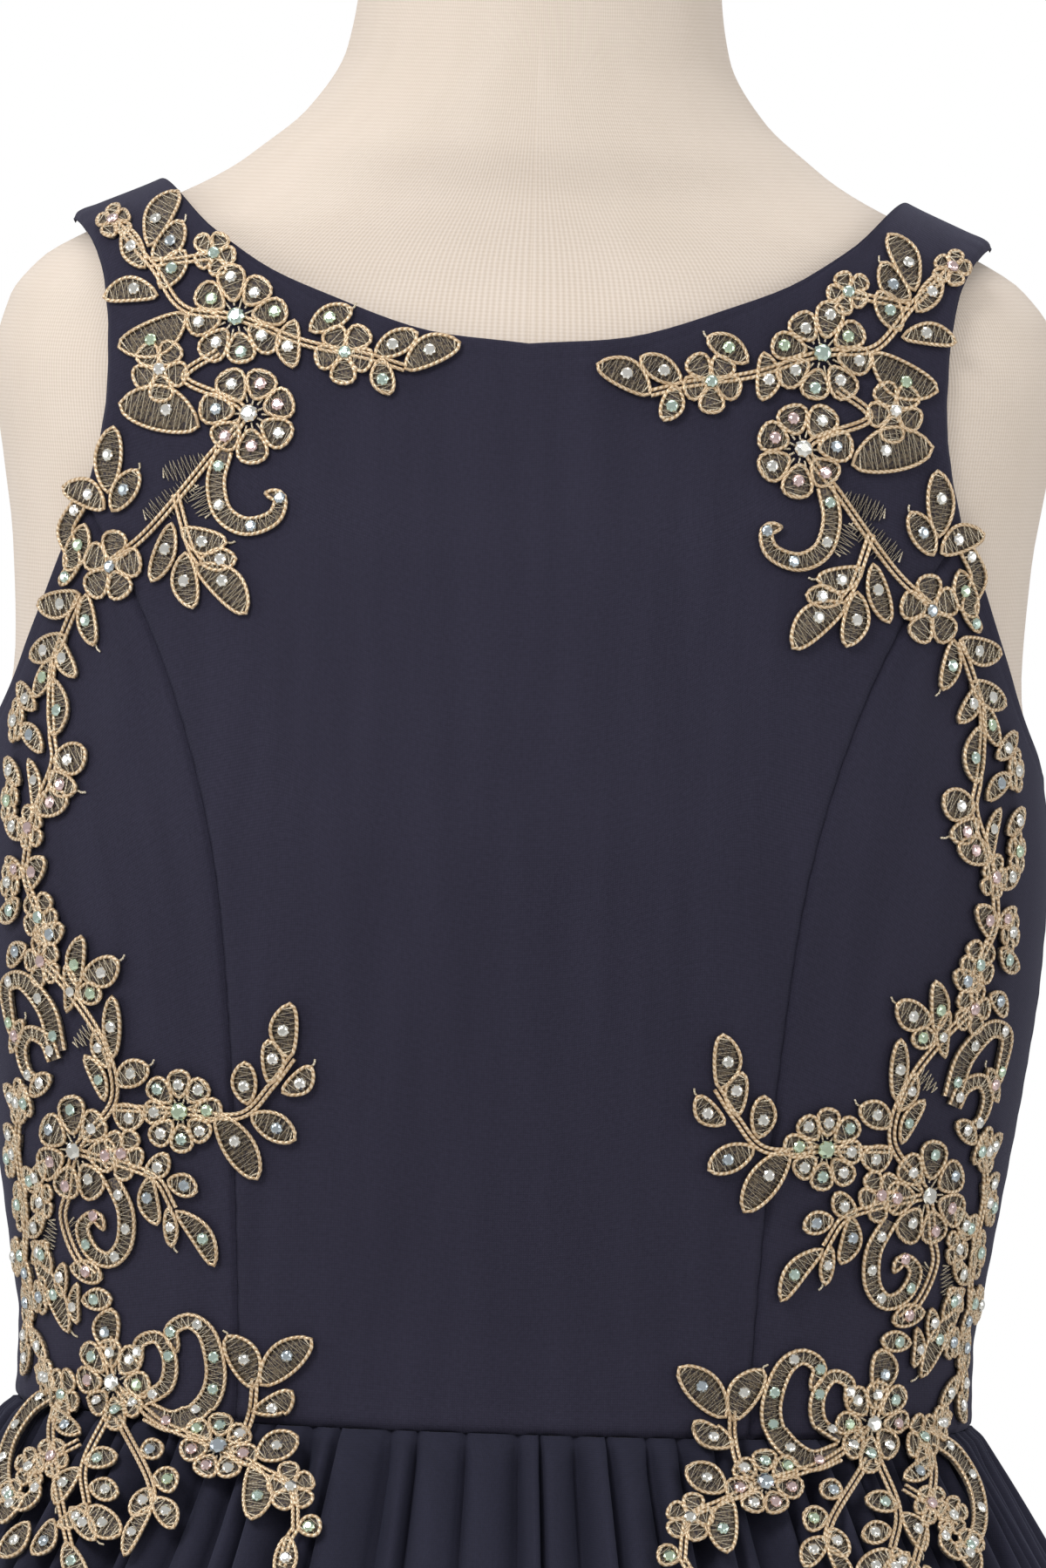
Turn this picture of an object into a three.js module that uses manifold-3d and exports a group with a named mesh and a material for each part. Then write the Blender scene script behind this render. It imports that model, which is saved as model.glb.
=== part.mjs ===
// A girl's sleeveless party dress, standing on a limbless dress form.
// Millimetres, +Z up. The front faces -Y and +X is the wearer's left.
// The origin is on the floor, under the middle of the stand.
import * as THREE from 'three';
import { mergeVertices } from 'three/addons/utils/BufferGeometryUtils.js';
import Module from 'manifold-3d';

const wasm = await Module();
wasm.setup();

// Heights
const HEM_Z = 45;
const WAIST_Z = 768;
const UNDERARM_Z = 926;
const PRINCESS_TOP_Z = 988;
const NECK_FRONT_Z = 1028.5;
const NECK_BACK_Z = 1014;
const NECK_TOP_Z = 1130;

// Cloth and seams
const CLOTH = 1.3;
const EASE = 1.3;
const STRAP_EASE = 1.1;
const STRAP_EASE_FROM_Z = 990;
const STRAP_EASE_TO_Z = 1040;
const SEAM_GAP = 0.3;
const SHELL = EASE + CLOTH;

// Half widths of the strap where it crosses the top of the shoulder
const STRAP_INNER_X = 89.5;
const STRAP_OUTER_X = 110.5;

// Panels: rows up the princess seam and side seam, and round the armholes
const SEAM_ROWS = 9;
const FRONT_ARMHOLE_ROWS = 5;
const BACK_ARMHOLE_ROWS = 7;
const STRAP_COLUMNS = 2;
const FRONT_COLUMNS = 14;
const SIDE_COLUMNS = 6;
const BACK_COLUMNS = 9;

// Gathers and folds of the skirt
const GATHERS = 88;
const FOLDS = 20;
// How far the creases near the centre front stand from even spacing, as a share of a gather
const FRONT_CREASE_SHIFTS = [
  { gather: -3, shift: 0.43 },
  { gather: -2, shift: 0.16 },
  { gather: -1, shift: 0.41 },
  { gather: 0, shift: 0.55 },
  { gather: 1, shift: 0.09 },
  { gather: 2, shift: 0 },
  { gather: 3, shift: -0.11 },
  { gather: 4, shift: 0.07 },
];
const CREASE_JITTER = 0.18;
const GATHER_CLOTH = 2.0;
const SKIRT_POWER = 2.2;
const SKIRT_HEIGHTS = [WAIST_Z - SEAM_GAP, 754, 725, 660, 530, 320, HEM_Z];

// Form and stand
const FORM_COLUMNS = 24;
const COVER_INSET = 0.5;
const SHOULDER_INSET = 2.8;
const SHOULDER_FROM_Z = 1020;
const SHOULDER_TO_Z = 1045;
const NECK_FROM_Z = 1063;
const NECK_TO_Z = 1078;
const TORSO_POWER = 2.2;
const NECK_POWER = 2.0;
const PLATE_RADIUS = 165;
const PLATE_THICKNESS = 10;
const PLATE_BEVEL = 2;
const POLE_RADIUS = 12.5;
const COLLAR_RADIUS = 22;
const COLLAR_HEIGHT = 28;
const COLLAR_TAPER = 6;
const CAP_OUTLINE = [
  { radius: 0, rise: 0 },
  { radius: 43, rise: 0 },
  { radius: 44.5, rise: 2 },
  { radius: 44.5, rise: 7 },
  { radius: 38, rise: 11 },
  { radius: 20, rise: 13.2 },
  { radius: 0, rise: 14 },
];
const TURNED_SIDES = { cap: 20, pole: 16, plate: 32 };

// The dress form's level sections: half width, and depth in front of and behind its axis
const FORM_SECTIONS = [
  { z: 556, half: 112, front: 80, back: 86 },
  { z: 562, half: 122, front: 88, back: 94 },
  { z: 575, half: 129, front: 93, back: 99 },
  { z: 600, half: 132, front: 95, back: 101 },
  { z: 650, half: 130, front: 93, back: 100 },
  { z: 700, half: 124, front: 88, back: 92 },
  { z: 740, half: 117, front: 82, back: 80 },
  { z: 768, half: 113.5, front: 79, back: 74 },
  { z: 788, half: 113.5, front: 79, back: 73 },
  { z: 801, half: 115.5, front: 80, back: 74 },
  { z: 826, half: 119.5, front: 83, back: 77 },
  { z: 855, half: 124, front: 86, back: 81 },
  { z: 880, half: 127, front: 88, back: 85 },
  { z: 905, half: 128, front: 89, back: 88 },
  { z: 930, half: 125.5, front: 86, back: 88 },
  { z: 950, half: 123, front: 82, back: 86 },
  { z: 978, half: 124.5, front: 76, back: 81 },
  { z: 995, half: 127, front: 70, back: 78 },
  { z: 1021, half: 130.5, front: 62, back: 71 },
  { z: 1036, half: 129, front: 57, back: 66 },
  { z: 1045, half: 123, front: 54, back: 62 },
  { z: 1053, half: 110, front: 52, back: 59 },
  { z: 1062, half: 90, front: 51, back: 57 },
  { z: 1072, half: 71, front: 50, back: 55 },
  { z: 1084, half: 56, front: 49, back: 52 },
  { z: 1099, half: 47, front: 47, back: 49 },
  { z: 1115, half: 44.5, front: 45, back: 46 },
  { z: NECK_TOP_Z, half: 44, front: 44, back: 45 },
];

// The skirt's outer outline over the crests of its gathers and folds
const SKIRT_SECTIONS = [
  { z: HEM_Z, half: 307, front: 284, back: 294, gather: 0, fold: 46 },
  { z: 165, half: 295, front: 270, back: 279, gather: 0, fold: 43 },
  { z: 305, half: 273, front: 246, back: 253, gather: 0, fold: 36 },
  { z: 455, half: 241, front: 211, back: 215, gather: 1, fold: 26 },
  { z: 585, half: 204, front: 169, back: 171, gather: 3, fold: 15 },
  { z: 668, half: 176, front: 138, back: 139, gather: 5, fold: 7 },
  { z: 716, half: 152, front: 114, back: 113, gather: 6.5, fold: 2.5 },
  { z: 741, half: 137, front: 101, back: 98, gather: 7, fold: 1 },
  { z: 757, half: 126.5, front: 92, back: 88, gather: 6, fold: 0 },
  { z: WAIST_Z, half: 118.6, front: 84.1, back: 79.1, gather: 2.2, fold: 0 },
];

// Edges of the panels as seen from the front, on the wearer's left
const PRINCESS_SEAM = [
  { x: 61, z: WAIST_Z },
  { x: 62, z: 805 },
  { x: 65, z: 855 },
  { x: 70.5, z: 902 },
  { x: 76, z: 925 },
  { x: 83, z: 946 },
  { x: 92, z: 966 },
  { x: 105, z: PRINCESS_TOP_Z },
];
const FRONT_NECKLINE = [
  { x: 0, z: NECK_FRONT_Z },
  { x: 25, z: 1031 },
  { x: 46.7, z: 1038 },
  { x: 62.8, z: 1044.5 },
  { x: 77.7, z: 1054 },
];
const BACK_NECKLINE = [
  { x: 0, z: NECK_BACK_Z },
  { x: 30, z: 1017 },
  { x: 52, z: 1026 },
  { x: 68, z: 1038 },
  { x: 81, z: 1051 },
];
const FRONT_ARMHOLE_UPPER = [
  { x: 105, z: PRINCESS_TOP_Z },
  { x: 102, z: 1001 },
  { x: 100.4, z: 1013 },
  { x: 100.3, z: 1024 },
  { x: 101, z: 1035 },
  { x: 103.3, z: 1045 },
];
const FRONT_ARMHOLE_LOWER = [
  { x: 105, z: PRINCESS_TOP_Z },
  { x: 109, z: 977.5 },
  { x: 113.2, z: 965 },
  { x: 117.2, z: 953 },
];
const BACK_ARMHOLE = [
  { x: 117, z: 951 },
  { x: 112, z: 963 },
  { x: 107, z: 979 },
  { x: 103.5, z: 996 },
  { x: 102, z: 1013 },
  { x: 102.5, z: 1030 },
  { x: 104.5, z: 1043 },
];
const UNDERARM_FRONT = { degrees: 79, z: 938 };
const UNDERARM_BACK = { degrees: 102, z: 937 };

// Raised lace: how far its underside and its face stand off the cloth
const LACE_LOW = 0.85;
const LACE_HIGH = 2.1;
const HEART_LOW = 0.85;
const HEART_HIGH = 2.7;
const HEART_RADIUS = 2.6;
const HEART_SIDES = 6;
const BIG_FLOWER_PETALS = 7;
const STEM_WIDTH = 2.6;
const NOTCH_SHARE = 0.7;
const LONGEST_EDGE = 17;
const SIDE_DROP = { left: 4, right: 0 };
const WAIST_BLEND = 20;

// A smooth curve through one column of a table, which never overshoots its rows.
function curveThrough(rows, column) {
  const z = rows.map((row) => row.z);
  const value = rows.map((row) => row[column]);
  const slope = z.slice(1).map((next, i) => (value[i + 1] - value[i]) / (next - z[i]));
  const tangent = value.map((_, i) => {
    if (i === 0) return slope[0];
    if (i === value.length - 1) return slope[i - 1];
    const [before, after] = [slope[i - 1], slope[i]];
    return before * after <= 0 ? 0 : (2 * before * after) / (before + after);
  });
  return (at) => {
    const level = Math.min(Math.max(at, z[0]), z[z.length - 1]);
    let i = 0;
    while (i < z.length - 2 && level > z[i + 1]) i += 1;
    const span = z[i + 1] - z[i];
    const t = (level - z[i]) / span;
    const s = 1 - t;
    return value[i] * s * s * (1 + 2 * t) + value[i + 1] * t * t * (3 - 2 * t)
      + span * t * s * (tangent[i] * s - tangent[i + 1] * t);
  };
}

// A body whose level sections are rounded ovals, with a deeper or shallower back half.
function ovalBody(half, front, back, power) {
  const depth = (y, z) => (y < 0 ? front(z) : back(z));
  const gauge = ([x, y, z]) => {
    const n = power(z);
    const sum = (Math.abs(x) / half(z)) ** n + (Math.abs(y) / depth(y, z)) ** n;
    return sum ** (1 / n) - 1;
  };
  const slope = (p) => {
    const step = 0.05;
    return p.map((_, k) => {
      const ahead = [...p];
      const behind = [...p];
      ahead[k] += step;
      behind[k] -= step;
      return (gauge(ahead) - gauge(behind)) / (2 * step);
    });
  };
  // Moves a nearby point square onto the surface.
  const settle = (start) => {
    let p = start;
    for (let turn = 0; turn < 6; turn += 1) {
      const g = slope(p);
      const share = gauge(p) / (g[0] ** 2 + g[1] ** 2 + g[2] ** 2);
      p = p.map((value, k) => value - g[k] * share);
    }
    return p;
  };
  const normal = (p) => {
    const g = slope(p);
    const length = Math.hypot(...g);
    return g.map((value) => value / length);
  };
  const lift = (p, distance) => normal(p).map((value, k) => p[k] + value * distance);
  const seenFromFront = (x, z, side = -1) => {
    const n = power(z);
    const across = Math.min(Math.abs(x) / half(z), 0.9999);
    return [x, side * depth(side, z) * (1 - across ** n) ** (1 / n), z];
  };
  // The angle runs from the centre front, through the wearer's left, to the back.
  const atAngle = (degrees, z) => {
    const n = power(z);
    const angle = THREE.MathUtils.degToRad(degrees);
    const [s, c] = [Math.sin(angle), Math.cos(angle)];
    return [
      half(z) * Math.sign(s) * Math.abs(s) ** (2 / n),
      -depth(-c, z) * Math.sign(c) * Math.abs(c) ** (2 / n),
      z,
    ];
  };
  return { settle, normal, lift, seenFromFront, atAngle, half };
}

const formPower = (z) => {
  const share = THREE.MathUtils.smoothstep(z, 1050, 1100);
  return THREE.MathUtils.lerp(TORSO_POWER, NECK_POWER, share);
};
const form = ovalBody(
  curveThrough(FORM_SECTIONS, 'half'),
  curveThrough(FORM_SECTIONS, 'front'),
  curveThrough(FORM_SECTIONS, 'back'),
  formPower,
);

// The outside of the whole dress: the bodice cloth above the waist, the crests of the skirt below.
function outsideOf(column) {
  const bodice = curveThrough(FORM_SECTIONS, column);
  const skirt = curveThrough(SKIRT_SECTIONS, column);
  return (z) => (z > WAIST_Z ? Math.max(bodice(z) + SHELL, skirt(WAIST_Z) - (z - WAIST_Z)) : skirt(z));
}
const outside = ovalBody(outsideOf('half'), outsideOf('front'), outsideOf('back'), formPower);

// The height of the shoulder's ridge at a distance from the centre.
function ridgeHeight(x) {
  let [low, high] = [1040, 1110];
  while (high - low > 0.01) {
    const middle = (low + high) / 2;
    if (form.half(middle) > x) low = middle;
    else high = middle;
  }
  return low;
}
const ridgePoint = (x) => [x, 0, ridgeHeight(x)];

const mirrored = ([x, y, z]) => [-x, y, z];

// A curve on the form through the given points, read by its share of length.
function curveOnForm(points) {
  const path = new THREE.CatmullRomCurve3(points.map((p) => new THREE.Vector3(...p)), false, 'centripetal');
  return (share) => {
    const p = path.getPointAt(THREE.MathUtils.clamp(share, 0, 1));
    return form.settle([p.x, p.y, p.z]);
  };
}
const onFront = ({ x, z }) => form.seenFromFront(x, z);
const onBack = ({ x, z }) => form.seenFromFront(x, z, 1);
const frontCurve = (rows, ...more) => curveOnForm([...rows.map(onFront), ...more]);

// One edge made of two curves that meet at the given share of its rows.
const inTwo = (first, second, share) => (v) => (
  v <= share ? first(v / share) : second((v - share) / (1 - share))
);

const princess = frontCurve(PRINCESS_SEAM);
const frontArmholeUpper = frontCurve(FRONT_ARMHOLE_UPPER, ridgePoint(STRAP_OUTER_X));
const frontArmholeLower = frontCurve(
  FRONT_ARMHOLE_LOWER,
  form.atAngle(UNDERARM_FRONT.degrees, UNDERARM_FRONT.z),
  form.atAngle(90, UNDERARM_Z),
);
const backArmhole = curveOnForm([
  form.atAngle(90, UNDERARM_Z),
  form.atAngle(UNDERARM_BACK.degrees, UNDERARM_BACK.z),
  ...BACK_ARMHOLE.map(onBack),
  ridgePoint(STRAP_OUTER_X),
]);
const frontNeckline = frontCurve(FRONT_NECKLINE, ridgePoint(STRAP_INNER_X));
const backNeckline = curveOnForm([
  ...BACK_NECKLINE.map(onBack),
  ridgePoint(STRAP_INNER_X),
]);
const strapTop = (share) => {
  const x = THREE.MathUtils.lerp(STRAP_INNER_X, STRAP_OUTER_X, share);
  return ridgePoint(x);
};
const sideSeam = (v) => form.atAngle(90, THREE.MathUtils.lerp(WAIST_Z, UNDERARM_Z, v));
const centreBack = (v) => form.seenFromFront(0, THREE.MathUtils.lerp(WAIST_Z, NECK_BACK_Z, v), 1);
const waistFront = (x) => form.seenFromFront(x, WAIST_Z);
const waistAtAngle = (degrees) => form.atAngle(degrees, WAIST_Z);

// A grid of points stretched smoothly between four edges and settled on the form.
function gridBetween(edges, columns, rows) {
  const { bottom, top, left, right } = edges;
  const grid = [];
  for (let j = 0; j <= rows; j += 1) {
    const v = j / rows;
    const line = [];
    for (let i = 0; i <= columns; i += 1) {
      const u = i / columns;
      const p = [0, 1, 2].map((k) => (
        (1 - v) * bottom(u)[k] + v * top(u)[k] + (1 - u) * left(v)[k] + u * right(v)[k]
        - (1 - u) * ((1 - v) * bottom(0)[k] + v * top(0)[k])
        - u * ((1 - v) * bottom(1)[k] + v * top(1)[k])
      ));
      const onEdge = i === 0 || i === columns || j === 0 || j === rows;
      line.push(onEdge ? p : form.settle(p));
    }
    grid.push(line);
  }
  return grid;
}

// Draws one edge of a grid in from the seam line, towards its neighbours.
function drawIn(grid, distance, sides) {
  const rows = grid.length - 1;
  const columns = grid[0].length - 1;
  const toward = (p, q) => {
    const step = distance / Math.hypot(...p.map((value, k) => q[k] - value));
    return p.map((value, k) => value + (q[k] - value) * step);
  };
  const moved = grid.map((line) => line.map((p) => [...p]));
  for (let j = 0; j <= rows; j += 1) {
    if (sides.includes('left')) moved[j][0] = toward(grid[j][0], grid[j][1]);
    if (sides.includes('right')) moved[j][columns] = toward(grid[j][columns], grid[j][columns - 1]);
  }
  if (sides.includes('top')) {
    for (let i = 0; i <= columns; i += 1) moved[rows][i] = toward(moved[rows][i], moved[rows - 1][i]);
  }
  return moved;
}

// A closed geometry from points and faces.
function solidFrom(points, faces) {
  const geometry = new THREE.BufferGeometry();
  geometry.setAttribute('position', new THREE.Float32BufferAttribute(points.flat(), 3));
  geometry.setIndex(faces.flat());
  return geometry;
}

// A wall between an inner and an outer grid, closed round its four edges.
function wall(inner, outer) {
  const rows = inner.length;
  const columns = inner[0].length;
  const points = [...inner.flat(), ...outer.flat()];
  const inside = (j, i) => j * columns + i;
  const outsideAt = (j, i) => rows * columns + inside(j, i);
  const faces = [];
  const quad = (a, b, c, d) => faces.push([a, b, c], [a, c, d]);
  for (let j = 0; j < rows - 1; j += 1) {
    for (let i = 0; i < columns - 1; i += 1) {
      quad(outsideAt(j, i), outsideAt(j, i + 1), outsideAt(j + 1, i + 1), outsideAt(j + 1, i));
      quad(inside(j, i), inside(j + 1, i), inside(j + 1, i + 1), inside(j, i + 1));
    }
  }
  for (let i = 0; i < columns - 1; i += 1) {
    quad(inside(0, i), inside(0, i + 1), outsideAt(0, i + 1), outsideAt(0, i));
    quad(outsideAt(rows - 1, i), outsideAt(rows - 1, i + 1), inside(rows - 1, i + 1), inside(rows - 1, i));
  }
  const last = columns - 1;
  for (let j = 0; j < rows - 1; j += 1) {
    quad(outsideAt(j, 0), outsideAt(j + 1, 0), inside(j + 1, 0), inside(j, 0));
    quad(inside(j, last), inside(j + 1, last), outsideAt(j + 1, last), outsideAt(j, last));
  }
  return solidFrom(points, faces);
}

// The bodice stands a little further off the form where it bends over the shoulder.
function offForm(p, distance) {
  const strap = STRAP_EASE * THREE.MathUtils.smoothstep(p[2], STRAP_EASE_FROM_Z, STRAP_EASE_TO_Z);
  return form.lift(p, distance + strap);
}
const liftGrid = (grid, distance) => grid.map((line) => line.map((p) => offForm(p, distance)));
const clothWall = (grid) => wall(liftGrid(grid, EASE), liftGrid(grid, SHELL));
const mirroredGrid = (grid) => grid.map((line) => [...line].reverse().map(mirrored));

function frontCentreGrid() {
  const share = SEAM_ROWS / (SEAM_ROWS + FRONT_ARMHOLE_ROWS);
  const right = inTwo(princess, frontArmholeUpper, share);
  const strapShare = STRAP_COLUMNS / FRONT_COLUMNS;
  const halfTop = (t) => {
    const onStrap = 1 - 2 * strapShare;
    return t > onStrap ? strapTop((t - onStrap) / (1 - onStrap)) : frontNeckline(t / onStrap);
  };
  const either = (half) => (u) => (u < 0.5 ? mirrored(half(1 - 2 * u)) : half(2 * u - 1));
  const edges = {
    bottom: (u) => waistFront((2 * u - 1) * PRINCESS_SEAM[0].x),
    top: either(halfTop),
    left: (v) => mirrored(right(v)),
    right,
  };
  const grid = gridBetween(edges, FRONT_COLUMNS, SEAM_ROWS + FRONT_ARMHOLE_ROWS);
  return drawIn(grid, SEAM_GAP / 2, ['left', 'right', 'top']);
}

function sideFrontGrid() {
  const across = PRINCESS_SEAM[0].x / form.half(WAIST_Z);
  const startAngle = THREE.MathUtils.radToDeg(Math.asin(across ** (TORSO_POWER / 2)));
  const edges = {
    bottom: (u) => waistAtAngle(THREE.MathUtils.lerp(startAngle, 90, u)),
    top: frontArmholeLower,
    left: princess,
    right: sideSeam,
  };
  return drawIn(gridBetween(edges, SIDE_COLUMNS, SEAM_ROWS), SEAM_GAP / 2, ['left', 'right']);
}

function backGrid() {
  const share = SEAM_ROWS / (SEAM_ROWS + BACK_ARMHOLE_ROWS);
  const strapShare = STRAP_COLUMNS / BACK_COLUMNS;
  const onNeckline = (u) => backNeckline(1 - (u - strapShare) / (1 - strapShare));
  const edges = {
    bottom: (u) => waistAtAngle(THREE.MathUtils.lerp(90, 180, u)),
    top: (u) => (u < strapShare ? strapTop(1 - u / strapShare) : onNeckline(u)),
    left: inTwo(sideSeam, backArmhole, share),
    right: centreBack,
  };
  const grid = gridBetween(edges, BACK_COLUMNS, SEAM_ROWS + BACK_ARMHOLE_ROWS);
  return drawIn(grid, SEAM_GAP / 2, ['left', 'right', 'top']);
}

// The skirt
const skirtColumn = Object.fromEntries(
  ['half', 'front', 'back', 'gather', 'fold'].map((name) => [name, curveThrough(SKIRT_SECTIONS, name)]),
);
const wobble = (k) => Math.sin(k * 2.39) * 0.6 + Math.sin(k * 5.13 + 1) * 0.4;

// Where a crease between two gathers stands, counted in gathers from the centre front
function creaseAt(gather) {
  const front = FRONT_CREASE_SHIFTS.find((row) => row.gather === gather);
  const onSeam = gather % (GATHERS / 4) === 0 && gather !== 0;
  if (onSeam) return gather;
  return gather + (front ? front.shift : CREASE_JITTER * wobble(gather));
}

// The skirt's columns, a crease and a crest for each gather: height is -1 in a crease, up to 1 on a crest
function skirtColumns(firstGather, lastGather) {
  const columns = [];
  for (let k = firstGather; k < lastGather; k += 1) {
    const [crease, next] = [creaseAt(k), creaseAt(k + 1)];
    columns.push({ turn: crease / GATHERS, height: -1 });
    columns.push({ turn: (crease + next) / 2 / GATHERS, height: 0.85 + 0.15 * wobble(k * 3) });
  }
  columns.push({ turn: creaseAt(lastGather) / GATHERS, height: -1 });
  return columns;
}

function skirtPoint({ turn, height }, z, inwards) {
  const angle = turn * 2 * Math.PI;
  const phase = FOLDS * angle + 0.9 * Math.sin(3 * angle + 0.7) + 0.5 * Math.sin(7 * angle);
  const size = 0.8 + 0.2 * Math.sin(5 * angle + 2);
  const fold = size * (0.5 - 0.5 * Math.cos(phase)) ** 0.8;
  const depth = skirtColumn.gather(z) * (0.5 - 0.5 * height) + skirtColumn.fold(z) * fold + inwards;
  const [s, c] = [Math.sin(angle), Math.cos(angle)];
  const flat = 2 / SKIRT_POWER;
  const front = c > 0 ? skirtColumn.front(z) : skirtColumn.back(z);
  return [
    (skirtColumn.half(z) - depth) * Math.sign(s) * Math.abs(s) ** flat,
    -(front - depth) * Math.sign(c) * Math.abs(c) ** flat,
    z,
  ];
}

function skirtPanel(firstGather, lastGather) {
  const columns = skirtColumns(firstGather, lastGather);
  const gridAt = (inwards) => {
    const heights = [...SKIRT_HEIGHTS].reverse();
    const grid = heights.map((z) => columns.map((column) => skirtPoint(column, z, inwards)));
    return drawIn(grid, SEAM_GAP / 2, ['left', 'right']);
  };
  return wall(gridAt(GATHER_CLOTH), gridAt(0));
}

// The form: rings of points up its height, closed at both ends
function formTorso() {
  const points = [];
  const faces = [];
  FORM_SECTIONS.forEach(({ z }) => {
    for (let i = 0; i < FORM_COLUMNS; i += 1) {
      const [x, y] = form.atAngle((360 * i) / FORM_COLUMNS, z);
      const underStraps = THREE.MathUtils.smoothstep(z, SHOULDER_FROM_Z, SHOULDER_TO_Z)
        * (1 - THREE.MathUtils.smoothstep(z, NECK_FROM_Z, NECK_TO_Z));
      const inset = 1 - (COVER_INSET + SHOULDER_INSET * underStraps) / Math.hypot(x, y);
      points.push([x * inset, y * inset, z]);
    }
  });
  const rings = FORM_SECTIONS.length;
  const at = (j, i) => j * FORM_COLUMNS + (i % FORM_COLUMNS);
  for (let j = 0; j < rings - 1; j += 1) {
    for (let i = 0; i < FORM_COLUMNS; i += 1) {
      faces.push([at(j, i), at(j, i + 1), at(j + 1, i + 1)], [at(j, i), at(j + 1, i + 1), at(j + 1, i)]);
    }
  }
  const bottom = points.push([0, 0, FORM_SECTIONS[0].z]) - 1;
  const top = points.push([0, 0, NECK_TOP_Z]) - 1;
  for (let i = 0; i < FORM_COLUMNS; i += 1) {
    faces.push([bottom, at(0, i + 1), at(0, i)], [top, at(rings - 1, i), at(rings - 1, i + 1)]);
  }
  return solidFrom(points, faces);
}

// A turned piece: its outline, half width against height, runs from the axis and back to it
function turned(outline, sides) {
  const profile = outline.map(([radius, z]) => new THREE.Vector2(radius, z));
  return new THREE.LatheGeometry(profile, sides).rotateX(Math.PI / 2);
}

// Booleans: each plate of lace is joined to the rest of its motif
function toManifold(geometry) {
  const bare = geometry.clone();
  bare.deleteAttribute('normal');
  bare.deleteAttribute('uv');
  const merged = mergeVertices(bare, 1e-4);
  return new wasm.Manifold(new wasm.Mesh({
    numProp: 3,
    vertProperties: Float32Array.from(merged.attributes.position.array),
    triVerts: Uint32Array.from(merged.index.array),
  }));
}

function toGeometry(manifold) {
  const mesh = manifold.getMesh();
  const geometry = new THREE.BufferGeometry();
  geometry.setAttribute('position', new THREE.BufferAttribute(Float32Array.from(mesh.vertProperties), 3));
  geometry.setIndex(new THREE.BufferAttribute(Uint32Array.from(mesh.triVerts), 1));
  return geometry;
}

// Leaves out closed pockets between joined pieces, whose faces look inwards.
function withoutPockets(geometry) {
  const index = [...geometry.index.array];
  const position = geometry.attributes.position;
  const group = Array.from({ length: position.count }, (_, i) => i);
  const rootOf = (i) => {
    let at = i;
    while (group[at] !== at) at = group[at];
    return at;
  };
  for (let i = 0; i < index.length; i += 3) {
    const first = rootOf(index[i]);
    group[rootOf(index[i + 1])] = first;
    group[rootOf(index[i + 2])] = first;
  }
  const corner = (i) => new THREE.Vector3().fromBufferAttribute(position, index[i]);
  const volume = {};
  for (let i = 0; i < index.length; i += 3) {
    const shell = rootOf(index[i]);
    volume[shell] = (volume[shell] ?? 0) + corner(i).dot(corner(i + 1).cross(corner(i + 2)));
  }
  geometry.setIndex(index.filter((vertex) => volume[rootOf(vertex)] > 0));
  return geometry;
}

const joined = (pieces) => (
  withoutPockets(toGeometry(pieces.map(toManifold).reduce((sum, piece) => sum.add(piece))))
);

// The lace is drawn flat, as seen from the front: x from the centre, y up, z off the cloth.
// A distance on the cloth looks shorter there where the cloth turns away.
function foreshortened(x, y) {
  const [nx, , nz] = outside.normal(outside.settle(outside.seenFromFront(x, y)));
  return [Math.max(Math.sqrt(1 - nx * nx), 0.35), Math.max(Math.sqrt(1 - nz * nz), 0.5)];
}

function flatPlate(outline, low, high) {
  const shape = new THREE.Shape(outline.map(([x, y]) => new THREE.Vector2(x, y)));
  const plate = new THREE.ExtrudeGeometry(shape, { depth: high - low, bevelEnabled: false });
  return plate.translate(0, 0, low);
}

const LEAF_OUTLINE = [
  { along: 0, half: 0.16 },
  { along: 0.52, half: 0.5 },
];

function leaf([x, y], tipX, tipY, width) {
  const [shortX, shortY] = foreshortened(x, y);
  const [dx, dy] = [tipX - x, tipY - y];
  const length = Math.hypot(dx, dy);
  const edge = (sign) => LEAF_OUTLINE.map(({ along, half }) => [
    x + dx * along + (sign * half * width * dy * shortX) / length,
    y + dy * along - (sign * half * width * dx * shortY) / length,
  ]);
  return flatPlate([...edge(1), [tipX, tipY], ...edge(-1).reverse()], LACE_LOW, LACE_HIGH);
}

function flowerRing(x, y, sides, reach) {
  const [shortX, shortY] = foreshortened(x, y);
  return Array.from({ length: sides }, (_, i) => {
    const angle = (2 * Math.PI * (i + 0.5)) / sides;
    return [x + reach(i) * shortX * Math.cos(angle), y + reach(i) * shortY * Math.sin(angle)];
  });
}

function flower({ x, z, radius, petals }) {
  const reach = (i) => (i % 2 === 0 ? radius : radius * NOTCH_SHARE);
  const pieces = [flatPlate(flowerRing(x, z, petals * 2, reach), LACE_LOW, LACE_HIGH)];
  if (petals >= BIG_FLOWER_PETALS) {
    pieces.push(flatPlate(flowerRing(x, z, HEART_SIDES, () => HEART_RADIUS), HEART_LOW, HEART_HIGH));
  }
  return pieces;
}

// A ribbon of one width along a line
function ribbon(line, width) {
  const edge = (sign) => line.map(([x, y], i) => {
    const before = line[Math.max(i - 1, 0)];
    const after = line[Math.min(i + 1, line.length - 1)];
    const [dx, dy] = [after[0] - before[0], after[1] - before[1]];
    const side = (sign * width) / 2 / Math.hypot(dx, dy);
    return [x + dy * side, y - dx * side];
  });
  return flatPlate([...edge(1), ...edge(-1).reverse()], LACE_LOW, LACE_HIGH);
}

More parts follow.
